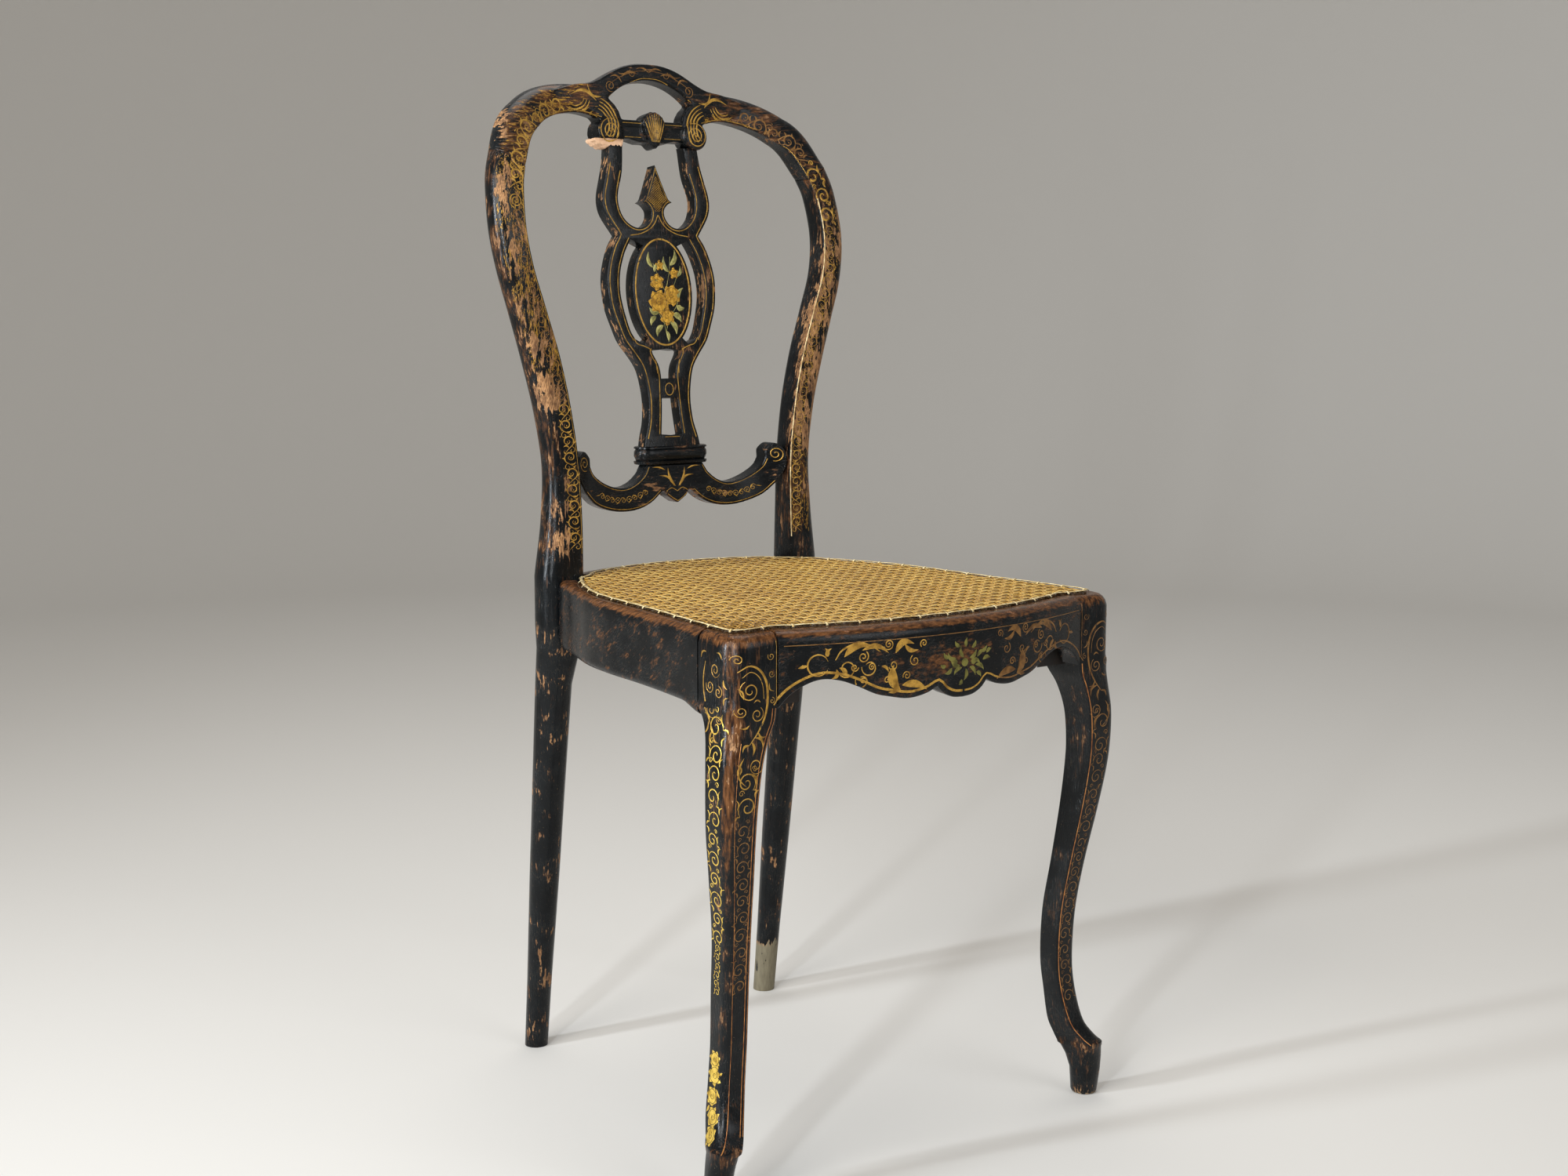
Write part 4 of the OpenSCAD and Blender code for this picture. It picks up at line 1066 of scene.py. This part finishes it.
BRIGHT_GOLD = gilding("bright_gold_leaf", "#a9862a", "#e0be55", 0.62)
LEAF_GREEN = gilding("leaf_green_gold", "#4d4a20", "#86803c", 0.59)
RUBBED_EDGE = gilding("rubbed_orange_edge", "#8a4c22", "#d08d4a", 0.62)
front_wood = surface(front_rail, left_front_leg, right_front_leg)
apron_stroke = offset_line(spaced(apron_line, 120), 5.2)
apron_half_line = apron_stroke[apron_stroke[:, 0] > 0.5]
apron_near = turned([line(apron_half_line, 1.9)], (-1, 1))
apron_near += [line(apron_half_line[apron_half_line[:, 0] < 40], 1.4)]
apron_near += turned([line([(156.6, 436), (156.6, 392)], 0.6)], (-1, 1))
apron_far = [line(apron_half_line[apron_half_line[:, 0] >= 38], 1.3), line([(-151, 431.5), (151, 431.5)], 0.6)]
apron_far += [line([(156.6, 436), (156.6, 392)], 0.6)]


def front_group(w):
    """The scrolls to one side of the front rail, drawn for its left."""
    out = [line(spiral(-126, 416, 8.2, 330, -0.86, 0.95), w * 1.2, 0.7), blob(-137.5, 415.5, 1.5),
           leaf((-134, 416), (-141, 414.5), 2.4), leaf((-120, 422), (-116, 428), 2.6, 0.2),
           leaf((-119, 422), (-121, 428.5), 2.4, -0.2), line(smooth([(-113, 419), (-108, 426), (-98, 430),
                                                                     (-86, 428.5), (-77, 423)], 5), w * 1.5, 0.6),
           leaf((-106, 421), (-84, 427.5), 6.0, 0.22), leaf((-92, 425), (-70, 421.5), 4.0, 0.2),
           line(spiral(-91, 420, 4.6, 60, -1.6), w * 0.9), line(spiral(-104, 412, 7.2, 190, 1.1, 0.5), w, 0.3),
           line(spiral(-98, 412.5, 3.2, 0, -1.5), w * 0.8), line(spiral(-86, 411.5, 6.4, 170, 0.9, 0.6), w, 0.4),
           line(spiral(-84, 412, 2.8, 40, 1.5), w * 0.8), line(spiral(-92, 402, 5.6, 150, 0.9, 0.55), w, 0.4),
           line(spiral(-91, 402, 2.4, 30, 1.4), w * 0.8), leaf((-112, 412), (-116, 405), 3.2, 0.3),
           leaf((-110, 413), (-104, 406), 3, 0.2), line(spiral(-70, 428, 4.4, 200, 1.8), w * 0.8),
           leaf((-64, 421), (-48, 427), 5.5, 0.3), leaf((-56, 427), (-44, 422), 3.6, -0.2),
           line(spiral(-39, 426.5, 3.4, 230, -1.4), w * 0.9), leaf((-76, 412), (-70, 407), 2.4, 0.2),
           leaf((-66, 411), (-59, 391.5), 8.5, -0.18), leaf((-58, 396), (-36, 391.0), 6, 0.12),
           leaf((-62, 398), (-70, 391.5), 3.4, 0.3), line(spiral(-54, 403, 3.6, 200, -1.5), w * 0.9),
           line(spiral(-71, 401, 3.2, 330, 1.4), w * 0.8), line(spiral(-66, 412, 4.0, 200, 1.4), w * 0.8),
           line(spiral(-47, 414, 4.6, 120, 1.3), w * 0.7)]
    return out


bouquet = [leaf((x, z), (x + dx, z + dz), 3.5, b) for x, z, dx, dz,
           b in ((-4, 406, -9, 5, 0.2), (-2, 404, -8, -5, -0.2), (2, 403, -2, -9, 0.2), (6, 404, 6, -7, 0.2),
                 (8, 408, 9, -2, 0.2), (6, 411, 7, 6, -0.2), (0, 412, -3, 9, 0.2), (-8, 412, -8, 5, 0.3),
                 (12, 405, 9, -5, 0.2), (14, 411, 8, 4, 0.2), (-12, 405, -7, -4, 0.2), (2, 420, 1, 7, 0.1),
                 (20, 408, 8, 1, 0.2), (-15, 413, -5, 4, 0.2), (18, 415, 6, 4, -0.2), (-4, 421, -5, 4, 0.2),
                 (8, 419, 4, 5, -0.2), (-2, 395, -3, -4, 0.2), (13, 399, 5, -4, 0.2), (24, 413, 5, 3, 0.2),
                 (-18, 407, -5, 1, 0.2))]
painted("front_rail_lines", front_wood, apron_near, GOLD)
painted("front_rail_far_lines", front_wood, apron_far, DIM_GOLD)
painted("front_rail_scrolls", front_wood, front_group(1.05), GOLD)
painted("front_rail_far_scrolls", front_wood, turned(front_group(1.1), (-1, 1)), DIM_GOLD)
painted("front_rail_flowers", front_wood, bouquet + [blob(1, 408, 3.4), blob(10, 408, 2.6), blob(-9, 409, 2.4)],
        LEAF_GREEN)

rows_of_leg = smooth([row[:5] for row in CABRIOLE], 5)
side_middle = np.stack([rows_of_leg[:, 1] + 0.56 * rows_of_leg[:, 4], rows_of_leg[:, 2]], axis=1)[::-1]
front_middle = np.stack([rows_of_leg[:, 0] + 0.42 * rows_of_leg[:, 3], rows_of_leg[:, 2]], axis=1)[::-1]
front_inner = np.stack([rows_of_leg[:, 0] + 1.8, rows_of_leg[:, 2]], axis=1)[::-1]
run_up = length_of(side_middle)
leg_side = along(side_middle, vine(158, 300, 19, 1.35, 3) + vine(300, run_up - 12, 22, 1.5, 5) + vine(116, 156, 9, 0.8,
                                                                                                       8))
painted("left_leg_side_scrolls", front_wood, leg_side, BRIGHT_GOLD, look="left")
posy, posy_ink = [], []
for s, t, r in ((10, -1, 7.5), (23, 1.5, 8), (38, -1, 7.5), (54, 1, 8.5), (66, 0, 7)):
    petals_made, ink_made = bloom(s, t, r, 7)
    posy += petals_made
    posy_ink += ink_made
posy += [leaf((18, 4), (25, 8), 3.4), leaf((31, -4), (26, -8), 3.4), leaf((44, 4), (38, 8), 3.2),
         leaf((56, 0), (64, 2), 4)]
painted("left_leg_flowers", front_wood, along(side_middle, posy), BRIGHT_GOLD, look="left")
painted("left_leg_flower_drawing", front_wood, along(side_middle, posy_ink), INK, look="left", height=0.3)
painted("left_leg_front_scrolls", front_wood, turned(along(front_middle, vine(120, 262, 17, 1.1, 4)), (-1, 1)),
        DIM_GOLD)
leg_front = along(front_middle, vine(262, run_up - 44, 22, 1.4, 6))
painted("left_knee_front_scrolls", front_wood, turned(leg_front, (-1, 1)), GOLD)
knee = [line(smooth([(189, 415), (181, 419.5), (172, 416), (166, 407), (164.5, 394), (167, 381), (173, 370),
                     (181, 361)], 6), 3.4, 0.75), line(smooth([(186, 411), (180, 415), (173, 411.5), (169, 404),
                                                               (168, 394)], 6), 1.2, 0.6),
        line(spiral(180, 401, 8.2, 60, -1.7, 0.16), 1.6, 0.5), line(spiral(174, 383, 6.0, 120, 1.6, 0.16), 1.4, 0.5),
        line(spiral(187, 386, 4.6, 20, -1.5, 0.2), 1.2, 0.5), line(spiral(189, 424, 4.0, 0, 1.5), 1.1, 0.4),
        leaf((181, 361), (187, 356), 3.4, 0.3), leaf((179, 363), (178, 353), 3.8, -0.2),
        leaf((176, 366), (169, 357), 3.6, -0.3), leaf((173, 370), (166, 366), 3.0, 0.3),
        leaf((185, 395), (189, 403), 2.6, 0.2), leaf((171, 392), (177, 392), 2.2, 0.3),
        leaf((181, 376), (188, 374), 2.6, -0.2), line(spiral(161.5, 425, 3.2, 30, -1.4), 0.9, 0.4),
        line(spiral(161, 412, 2.8, 200, 1.4), 0.9, 0.4), leaf((163, 405), (158.5, 399), 2.0, 0.3),
        line(spiral(160.5, 392, 2.6, 90, 1.3), 0.8), line(spiral(175, 345, 6.6, 200, 1.6, 0.16), 1.4, 0.5),
        leaf((186, 352), (183, 330), 3.6, 0.3), leaf((181, 340), (175, 328), 2.8, -0.3)]
painted("left_knee_scrolls", front_wood, turned(knee, (-1, 1)), GOLD)
knee_side = [line(spiral(-338, 415, 6.0, 200, 1.6, 0.16), 1.4, 0.5),
             line(spiral(-331, 402, 5.4, 20, -1.6, 0.16), 1.3, 0.5),
             line(spiral(-342, 399, 5.0, 90, 1.5, 0.16), 1.2, 0.5),
             line(spiral(-334, 385, 6.4, 220, 1.6, 0.16), 1.5, 0.5),
             line(spiral(-344, 379, 4.2, 60, -1.5, 0.2), 1.2, 0.5), leaf((-346, 424), (-340, 428), 2.4, 0.3),
             line(smooth([(-325, 420), (-322, 408), (-323, 394), (-329, 380), (-338, 368)], 6), 2.4, 0.7),
             leaf((-338, 368), (-345, 362), 3.2, 0.3), leaf((-336, 370), (-336, 358), 3.4, 0.2),
             leaf((-330, 376), (-325, 366), 3.0, -0.2), leaf((-348, 409), (-351, 402), 2.4, 0.2),
             leaf((-348, 390), (-352, 396), 2.2, -0.3), leaf((-326, 427), (-319, 422), 2.4, 0.3)]
painted("left_knee_side_scrolls", front_wood, knee_side, GOLD, look="left")
edge_lines = [line(front_inner[6:] + (2.2, 0), 1.0), line(front_inner[6:] - (0.4, 0), 0.7)]
edge_lines += [line(np.stack([rows_of_leg[:, 0] + 0.72 * rows_of_leg[:, 3], rows_of_leg[:, 2]], axis=1)[10:80], 0.6)]
painted("left_leg_lines", front_wood, turned(edge_lines, (-1, 1)), RUBBED_EDGE)
painted("right_leg_edge", front_wood, [line(front_inner, 2.0)], RUBBED_EDGE)
painted("right_leg_scrolls", front_wood, along(front_middle, vine(40, 262, 17, 1.0, 9) + vine(262, run_up - 44, 22,
                                                                                              1.2, 10)), DIM_GOLD)
painted("right_knee_scrolls", front_wood, knee, DIM_GOLD)


# ---------- woven cane ----------
# The seat is six-way cane: pairs of strands run front to back and side to side, with single ones on both diagonals.
# They are split from rattan, led through a ring of holes in the rails' ledge and pegged tight. The skin is a glossy
# honey colour, with painted shade darkening the lower layers of the weave and the strands' sides.

CANE_PITCH = 12.5
CANE_Z = 442.2
BINDING_INSET = 2.6
RIM_CORNER = [(150, -343.5), (162, -346), (173, -347.4), (181.5, -344), (186, -334), (184.3, -313.4)]
RIM_REAR = [(128, -34), (120, -24.5), (110.5, -19), (100, -6), (90, 1.4)]


def split_cane(name, pale, deep, stretch):
    """Split cane: a glossy skin in strands of slightly different age, with fine length lines and stains.
    Painted shade darkens it low in the weave and on the strands' sides.
    """
    material, tree = new_material(name)
    coordinates = add(tree, "ShaderNodeTexCoord", {})
    plain = coordinates["Object"]
    along = add(tree, "ShaderNodeMapping", {"Vector": plain, "Scale": stretch})[0]
    # Sizes in mm: areas of one age, the cane's length lines drawn coarser than their real 0.3 mm to show, stains
    age, strand, spots = [add(tree, "ShaderNodeTexNoise", {"Vector": place, "Scale": 1 / (size * MM),
                                                           "Detail": detail, "Roughness": 0.6})["Fac"]
                          for place, size, detail in ((plain, 38.4615, 3), (along, 4.16667, 4), (plain, 11.1111, 4))]
    height, tilt = [add(tree, "ShaderNodeSeparateXYZ", {0: place})["Z"] for place in (plain, coordinates["Normal"])]
    # Painted shade: the cane darkens towards the bottom of the weave and where a strand's side tilts away from up
    fibre, aged, stained, low_painted_shade, side_painted_shade, rough = [
        add(tree, "ShaderNodeMapRange", {0: value, 1: low, 2: high, 3: at_low, 4: at_high},
            interpolation_type="SMOOTHSTEP")[0]
        for value, low, high, at_low, at_high in (
            (strand, 0.3, 0.7, 0.0, 1.0), (age, 0.35, 0.7, 0.0, 0.3), (spots, 0.58, 0.75, 0.0, 0.5),
            (height, (CANE_Z + 0.9) * MM, (CANE_Z - 0.1) * MM, 0.0, 0.92), (tilt, 0.75, 0.1, 0.0, 0.85),
            (strand, 0.3, 0.7, 0.3, 0.48))]
    painted_gap_shade = add(tree, "ShaderNodeMath", {0: low_painted_shade, 1: side_painted_shade}, operation="MAXIMUM")[0]
    shade = add(tree, "ShaderNodeMix", {0: fibre, 6: colour(deep), 7: colour(pale)}, data_type="RGBA")[2]
    for cover, code in ((aged, "#8a5f24"), (stained, "#5d3a14"), (painted_gap_shade, "#2e1b09")):
        shade = add(tree, "ShaderNodeMix", {0: cover, 6: shade, 7: colour(code)}, data_type="RGBA")[2]
    bump = add(tree, "ShaderNodeBump", {"Height": strand, "Strength": 0.4, "Distance": 0.3 * MM})[0]
    shader = add(tree, "ShaderNodeBsdfPrincipled", {"Base Color": shade, "Roughness": rough, "Normal": bump})[0]
    add(tree, "ShaderNodeOutputMaterial", {"Surface": shader})
    return material


CANE = split_cane("split_cane", "#cf9f42", "#8f6522", (1, 1, 1))
# A paler copy of the split cane for the top layer of diagonals: a painted highlight on the uppermost strands
HIGHLIT_CANE = split_cane("highlit_split_cane", "#f0d07a", "#bd8f38", (0.2, 1, 1))


def inset_loop(loop, d):
    """A closed loop moved inwards by d."""
    loop = np.array(loop, float)
    along = np.roll(loop, -1, axis=0) - np.roll(loop, 1, axis=0)
    along /= np.linalg.norm(along, axis=1)[:, None]
    return loop + d * np.stack([-along[:, 1], along[:, 0]], axis=1)


rim_half = [(x, front_bow(x, *FRONT_RIM)) for x in np.linspace(0, 148, 24)]
rim_half += [tuple(q) for q in smooth(RIM_CORNER, 6)[:-1]] + [tuple(q) for q in spaced(smooth(RIM_SIDE, 6), 44)[:-1]]
rim_half += [tuple(q) for q in smooth(RIM_REAR, 5)[:-1]]
rim_half += [(x, back_bow(x, *REAR_RIM)) for x in np.linspace(90, 0, 14)]
rim_loop = np.array(both_halves(rim_half))
rim_loop = spaced(np.vstack([rim_loop, rim_loop[:1]]), 241)[:-1]
hole_loop = inset_loop(rim_loop, BINDING_INSET)


def strand(direction, offset, step, height):
    """Points of one strand across the seat: a straight line cut off at the ring of holes, waving up and down."""
    d = np.array(direction, float) / np.hypot(*direction)
    side = np.array([-d[1], d[0]])
    off = hole_loop @ side - offset
    run = hole_loop @ d
    cuts = []
    for a in range(len(off)):
        b = (a + 1) % len(off)
        if off[a] * off[b] < 0:
            cuts.append(run[a] + (run[b] - run[a]) * off[a] / (off[a] - off[b]))
    if len(cuts) < 2 or max(cuts) - min(cuts) < 8:
        return None
    start, end = min(cuts), max(cuts)
    t = np.unique(np.concatenate([[start, end], np.arange(math.ceil(start / step) * step, end, step)]))
    xy = t[:, None] * d + side * offset
    z = CANE_Z + 0.55 + height(xy)
    tuck = ramp(np.minimum(t - start, end - t), 0, 5)
    return np.column_stack([xy, CANE_Z + (z - CANE_Z) * tuck - 0.9 * (1 - tuck)])


def curve_of(name, lines, cyclic=False):
    curve = bpy.data.curves.new(name, "CURVE")
    curve.dimensions = "3D"
    for line in lines:
        spline = curve.splines.new("POLY")
        spline.points.add(len(line) - 1)
        points = (np.array(line) + (0, BACK_Y, 0)) * MM
        spline.points.foreach_set("co", np.column_stack([points, np.ones(len(points))]).ravel())
        spline.use_cyclic_u = cyclic
    obj = bpy.data.objects.new(name, curve)
    bpy.context.scene.collection.objects.link(obj)
    return obj


def ribbon(group, path, material, width, thickness, sides=5):
    """Nodes that sweep a crowned strip of cane along a path and give it its material."""
    circle = add(group, "GeometryNodeCurvePrimitiveCircle", {"Resolution": sides, "Radius": 0.5}, mode="RADIUS")[0]
    size = add(group, "ShaderNodeCombineXYZ", {"X": width, "Y": thickness, "Z": 1.0})[0]
    profile = add(group, "GeometryNodeTransform", {"Geometry": circle, "Scale": size})[0]
    upright = add(group, "GeometryNodeSetCurveNormal", {"Curve": path}, mode="Z_UP")[0]
    swept = add(group, "GeometryNodeCurveToMesh", {"Curve": upright, "Profile Curve": profile, "Fill Caps": True})[0]
    return add(group, "GeometryNodeSetMaterial", {"Geometry": swept, "Material": material})[0]


def cane_group(name, **values):
    """A node group with a Line input, a number input for each value, and a Cane output."""
    group = bpy.data.node_groups.new(name, "GeometryNodeTree")
    group.interface.new_socket("Line", in_out="INPUT", socket_type="NodeSocketGeometry")
    for key, value in values.items():
        group.interface.new_socket(key.replace("_", " "), in_out="INPUT",
                                   socket_type="NodeSocketFloat").default_value = value
    group.interface.new_socket("Cane", in_out="OUTPUT", socket_type="NodeSocketGeometry")
    return group, add(group, "NodeGroupInput", {})


def grown(name, source, group):
    """Applies a node group to an object and keeps the result as a mesh piece."""
    nodes = source.modifiers.new("grow", "NODES")
    nodes.node_group = group
    mesh = bpy.data.meshes.new_from_object(source.evaluated_get(bpy.context.evaluated_depsgraph_get()))
    bpy.data.objects.remove(source)
    mesh.name = name
    mesh.shade_smooth()
    obj = bpy.data.objects.new(name, mesh)
    bpy.context.scene.collection.objects.link(obj)
    return obj


def weave(material, width):
    """Nodes for one layer of strands."""
    nodes, given = cane_group(material.name + "_strands", Strand_Width=width * MM, Strand_Thickness=0.75 * MM)
    strip = ribbon(nodes, given["Line"], material, given["Strand Width"], given["Strand Thickness"])
    real = add(nodes, "GeometryNodeRealizeInstances", {"Geometry": strip})[0]
    add(nodes, "NodeGroupOutput", {"Cane": real})
    return nodes


quarter = CANE_PITCH / 4
turn = 2 * math.pi / CANE_PITCH
front_back, side_side, slanting = [], [], {-1: [], 1: []}
for k in range(-36, 37):
    for sign in (-1, 1):
        front_back.append(strand((0, 1), -(k * CANE_PITCH + sign * quarter), CANE_PITCH / 6,
                                 lambda q, s=sign: s * 0.38 * np.cos(turn * (q[:, 1] + quarter))))
        side_side.append(strand((1, 0), k * CANE_PITCH + sign * quarter, CANE_PITCH / 6,
                                lambda q, s=sign: -s * 0.38 * np.cos(turn * (q[:, 0] + quarter))))
        slanting[sign].append(strand((1, sign), k * CANE_PITCH / math.sqrt(2), CANE_PITCH * math.sqrt(2) / 8,
                                     lambda q, s=sign: -0.2 * s + 0.55 * np.cos(turn * (q[:, 0] + quarter))))
# The uppermost diagonals take the paler cane, which is a painted highlight
for name, lines, material, width in (("cane_front_to_back", front_back, CANE, 2.0),
                                     ("cane_side_to_side", side_side, CANE, 2.2),
                                     ("cane_first_diagonals", slanting[1], CANE, 1.7),
                                     ("cane_last_diagonals", slanting[-1], HIGHLIT_CANE, 2.3)):
    source = curve_of(name + "_lines", [line for line in lines if line is not None])
    piece = grown(name, source, weave(material, width))
    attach(piece, "root")
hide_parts("cane_panel")


# ---------- binding over the cane holes ----------
# A wider, paler strip of cane is laid over the ring of holes round the seat, and loops of fine cane, brought up
# through the holes, tie it down.

BINDING_Z = 443.6
BINDING = split_cane("binding_cane", "#eadcae", "#bf9f5e", (1, 1, 1))
hole_line = spaced(np.vstack([hole_loop, hole_loop[:1]]), 48 * 8 + 1)[:-1]
stitch = np.arange(len(hole_line)) % 8
lift = np.abs(np.sin(math.pi * stitch / 8)) ** 0.7
binding_line = np.column_stack([hole_line, BINDING_Z - 0.4 + 0.5 * lift])

binding_nodes, given = cane_group("cane_binding", Binding_Width=2.6 * MM, Binding_Thickness=1.1 * MM,
                                  Loop_Every=8.0, Loop_Width=2.2 * MM, Loop_Thickness=0.7 * MM)
strip = ribbon(binding_nodes, given["Line"], BINDING, given["Binding Width"], given["Binding Thickness"], 8)
loop_end = 2.9 * MM
arch = add(binding_nodes, "GeometryNodeCurveArc", {"Resolution": 9, "Start": (0, -loop_end, -1.2 * MM),
                                                  "Middle": (0, 0, 0.95 * MM), "End": (0, loop_end, -1.2 * MM)},
           mode="POINTS")[0]
loop_strip = ribbon(binding_nodes, arch, BINDING, given["Loop Width"], given["Loop Thickness"], 6)
points = add(binding_nodes, "GeometryNodeCurveToPoints", {"Curve": given["Line"]}, mode="EVALUATED")
index = add(binding_nodes, "GeometryNodeInputIndex", {})[0]
every = add(binding_nodes, "ShaderNodeMath", {0: index, 1: given["Loop Every"]}, operation="MODULO")[0]
first = add(binding_nodes, "FunctionNodeCompare", {0: every, 1: 0.5}, operation="LESS_THAN")[0]
facing = add(binding_nodes, "FunctionNodeAlignRotationToVector", {"Vector": points["Tangent"]}, axis="X",
             pivot_axis="Z")[0]
loops = add(binding_nodes, "GeometryNodeInstanceOnPoints", {"Points": points[0], "Selection": first,
                                                          "Instance": loop_strip, "Rotation": facing})[0]
joined = add(binding_nodes, "GeometryNodeJoinGeometry", {0: strip})[0]
binding_nodes.links.new(loops, joined.node.inputs[0])
real = add(binding_nodes, "GeometryNodeRealizeInstances", {"Geometry": joined})[0]
add(binding_nodes, "NodeGroupOutput", {"Cane": real})
binding = grown("cane_binding_ring", curve_of("binding_line", [binding_line], cyclic=True), binding_nodes)
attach(binding, "root")
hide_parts("cane_binding")


# ---------- the joiner's hidden parts ----------
# Turned beech dowels hold the joints, small pegs sit in the cane holes, and glue blocks fill the four corners under
# the seat, coloured near-black as painted shade. They keep the plain shapes they were made in.


def bare_wood(name, dark, light):
    """Plain beech, never lacquered: dull, with soft streaks along its length."""
    material, tree = new_material(name)
    plain = add(tree, "ShaderNodeTexCoord", {})["Object"]
    along = add(tree, "ShaderNodeMapping", {"Vector": plain, "Scale": (1, 1, 0.2)})[0]
    # Growth rings, drawn 6.25 mm apart, wider than beech's real 2 mm, to show
    rings = add(tree, "ShaderNodeTexNoise", {"Vector": along, "Scale": 1 / (6.25 * MM), "Detail": 5,
                                             "Roughness": 0.6})["Fac"]
    streak, rough = [add(tree, "ShaderNodeMapRange", {0: rings, 1: low, 2: high, 3: at_low, 4: at_high},
                         interpolation_type="SMOOTHSTEP")[0]
                     for low, high, at_low, at_high in ((0.3, 0.7, 0.0, 1.0), (0.2, 0.8, 0.6, 0.8))]
    skin = add(tree, "ShaderNodeMix", {0: streak, 6: colour(dark), 7: colour(light)}, data_type="RGBA")[2]
    bump = add(tree, "ShaderNodeBump", {"Height": rings, "Strength": 0.4, "Distance": 0.4 * MM})[0]
    shader = add(tree, "ShaderNodeBsdfPrincipled", {"Base Color": skin, "Roughness": rough, "Normal": bump})[0]
    add(tree, "ShaderNodeOutputMaterial", {"Surface": shader})
    return material


RAW = bare_wood("old_beech", "#8c6844", "#c39a6b")
# Near-black beech for the corner blocks is painted shade for the dark under the seat
SHADE_BLACK_BEECH = bare_wood("shade_black_beech", "#0f0b09", "#241a13")
for node in ("cane_pegs", "crest_dowels", "cross_rail_dowels", "front_rail_dowels", "side_rail_dowels",
             "back_rail_dowels", "corner_blocks_front", "corner_blocks_back"):
    for material_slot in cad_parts[node].material_slots:
        material_slot.material = SHADE_BLACK_BEECH if "corner" in node else RAW


# ---------- floor, light and camera ----------
# The chair stands on pale matt paper that curves up into a wall all round. Soft window light falls from the left,
# with weak light from the front and above.

paper, paper_tree = new_material("pale_paper")
paper_shader = add(paper_tree, "ShaderNodeBsdfPrincipled", {"Base Color": colour("#d9d6d1"), "Roughness": 0.9})[0]
add(paper_tree, "ShaderNodeOutputMaterial", {"Surface": paper_shader})


def make_floor(flat=3.2, bend=1.6, top=2.6, around=72):
    """A pale floor that curves up into a wall all round."""
    profile = [(0.01, 0.0), (1.0, 0.0), (2.0, 0.0), (flat, 0.0)]
    profile += [(flat + bend * math.sin(a), bend - bend * math.cos(a)) for a in np.radians(np.arange(6, 91, 6))]
    profile += [(flat + bend, top)]
    turns = np.radians(np.arange(around) * 360 / around)
    mesh = bpy.data.meshes.new("floor")
    faces = [tuple(range(around))]
    for first in range(0, (len(profile) - 1) * around, around):
        faces += [(first + i, first + around + i, first + around + (i + 1) % around, first + (i + 1) % around)
                  for i in range(around)]
    mesh.from_pydata([(r * math.cos(a), r * math.sin(a), z) for r, z in profile for a in turns], [], faces)
    mesh.shade_smooth()
    floor = bpy.data.objects.new("floor", mesh)
    floor.data.materials.append(paper)
    bpy.context.scene.collection.objects.link(floor)
    floor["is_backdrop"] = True


make_floor()


def lamp(name, place, target, size, power, tint, spread=180):
    light = bpy.data.lights.new(name, "AREA")
    light.shape = "ELLIPSE"
    light.size, light.size_y = size
    light.energy = power
    light.color = tint
    light.spread = math.radians(spread)
    obj = bpy.data.objects.new(name, light)
    obj.location = place
    obj.rotation_euler = (Vector(target) - Vector(place)).to_track_quat("-Z", "Y").to_euler()
    obj.visible_camera = False
    bpy.context.scene.collection.objects.link(obj)


lamp("window", (-2.2, -0.6, 1.9), (0, 0, 0.5), (1.3, 1.3), 36, (1.0, 0.98, 0.95))
lamp("fill", (0.6, -2.6, 1.6), (0, 0, 0.5), (1.8, 1.8), 20, (0.97, 0.98, 1.0))
lamp("top", (0.4, 0.6, 2.8), (0, 0, 0.4), (1.8, 1.8), 20, (1.0, 0.97, 0.93))
lamp("tall_window", (-2.5, 0.35, 1.1), (0, 0, 0.7), (0.14, 1.7), 15, (0.86, 0.93, 1.0), 90)
lamp("near_window", (-2.0, -1.3, 1.15), (0, 0, 0.7), (0.12, 1.5), 8, (0.88, 0.94, 1.0), 90)
world = bpy.data.worlds.new("room")
world.use_nodes = True
world.node_tree.nodes["Background"].inputs["Color"].default_value = colour("#f2f0ec")
world.node_tree.nodes["Background"].inputs["Strength"].default_value = 0.36
bpy.context.scene.world = world
bpy.context.scene.view_settings.view_transform = "Standard"

lens = bpy.data.cameras.new("camera")
lens.lens = 46.55
lens.sensor_width = 36
camera = bpy.data.objects.new("camera", lens)
camera.location = (-1.0281, -1.3704, 0.6797)
ahead = Vector((0.5936, 0.7927, -0.1388)).normalized()
rightwards = Vector((0.8005, -0.5994, 0.0023)).normalized()
upwards = rightwards.cross(ahead).normalized()
rightwards = ahead.cross(upwards)
camera.rotation_mode = "QUATERNION"
camera.rotation_quaternion = Matrix((rightwards, upwards, -ahead)).transposed().to_quaternion()
bpy.context.scene.collection.objects.link(camera)
bpy.context.scene.camera = camera


# ---------- size ----------
# The chair's box in metres, as the finished pieces give it.

low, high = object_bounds()
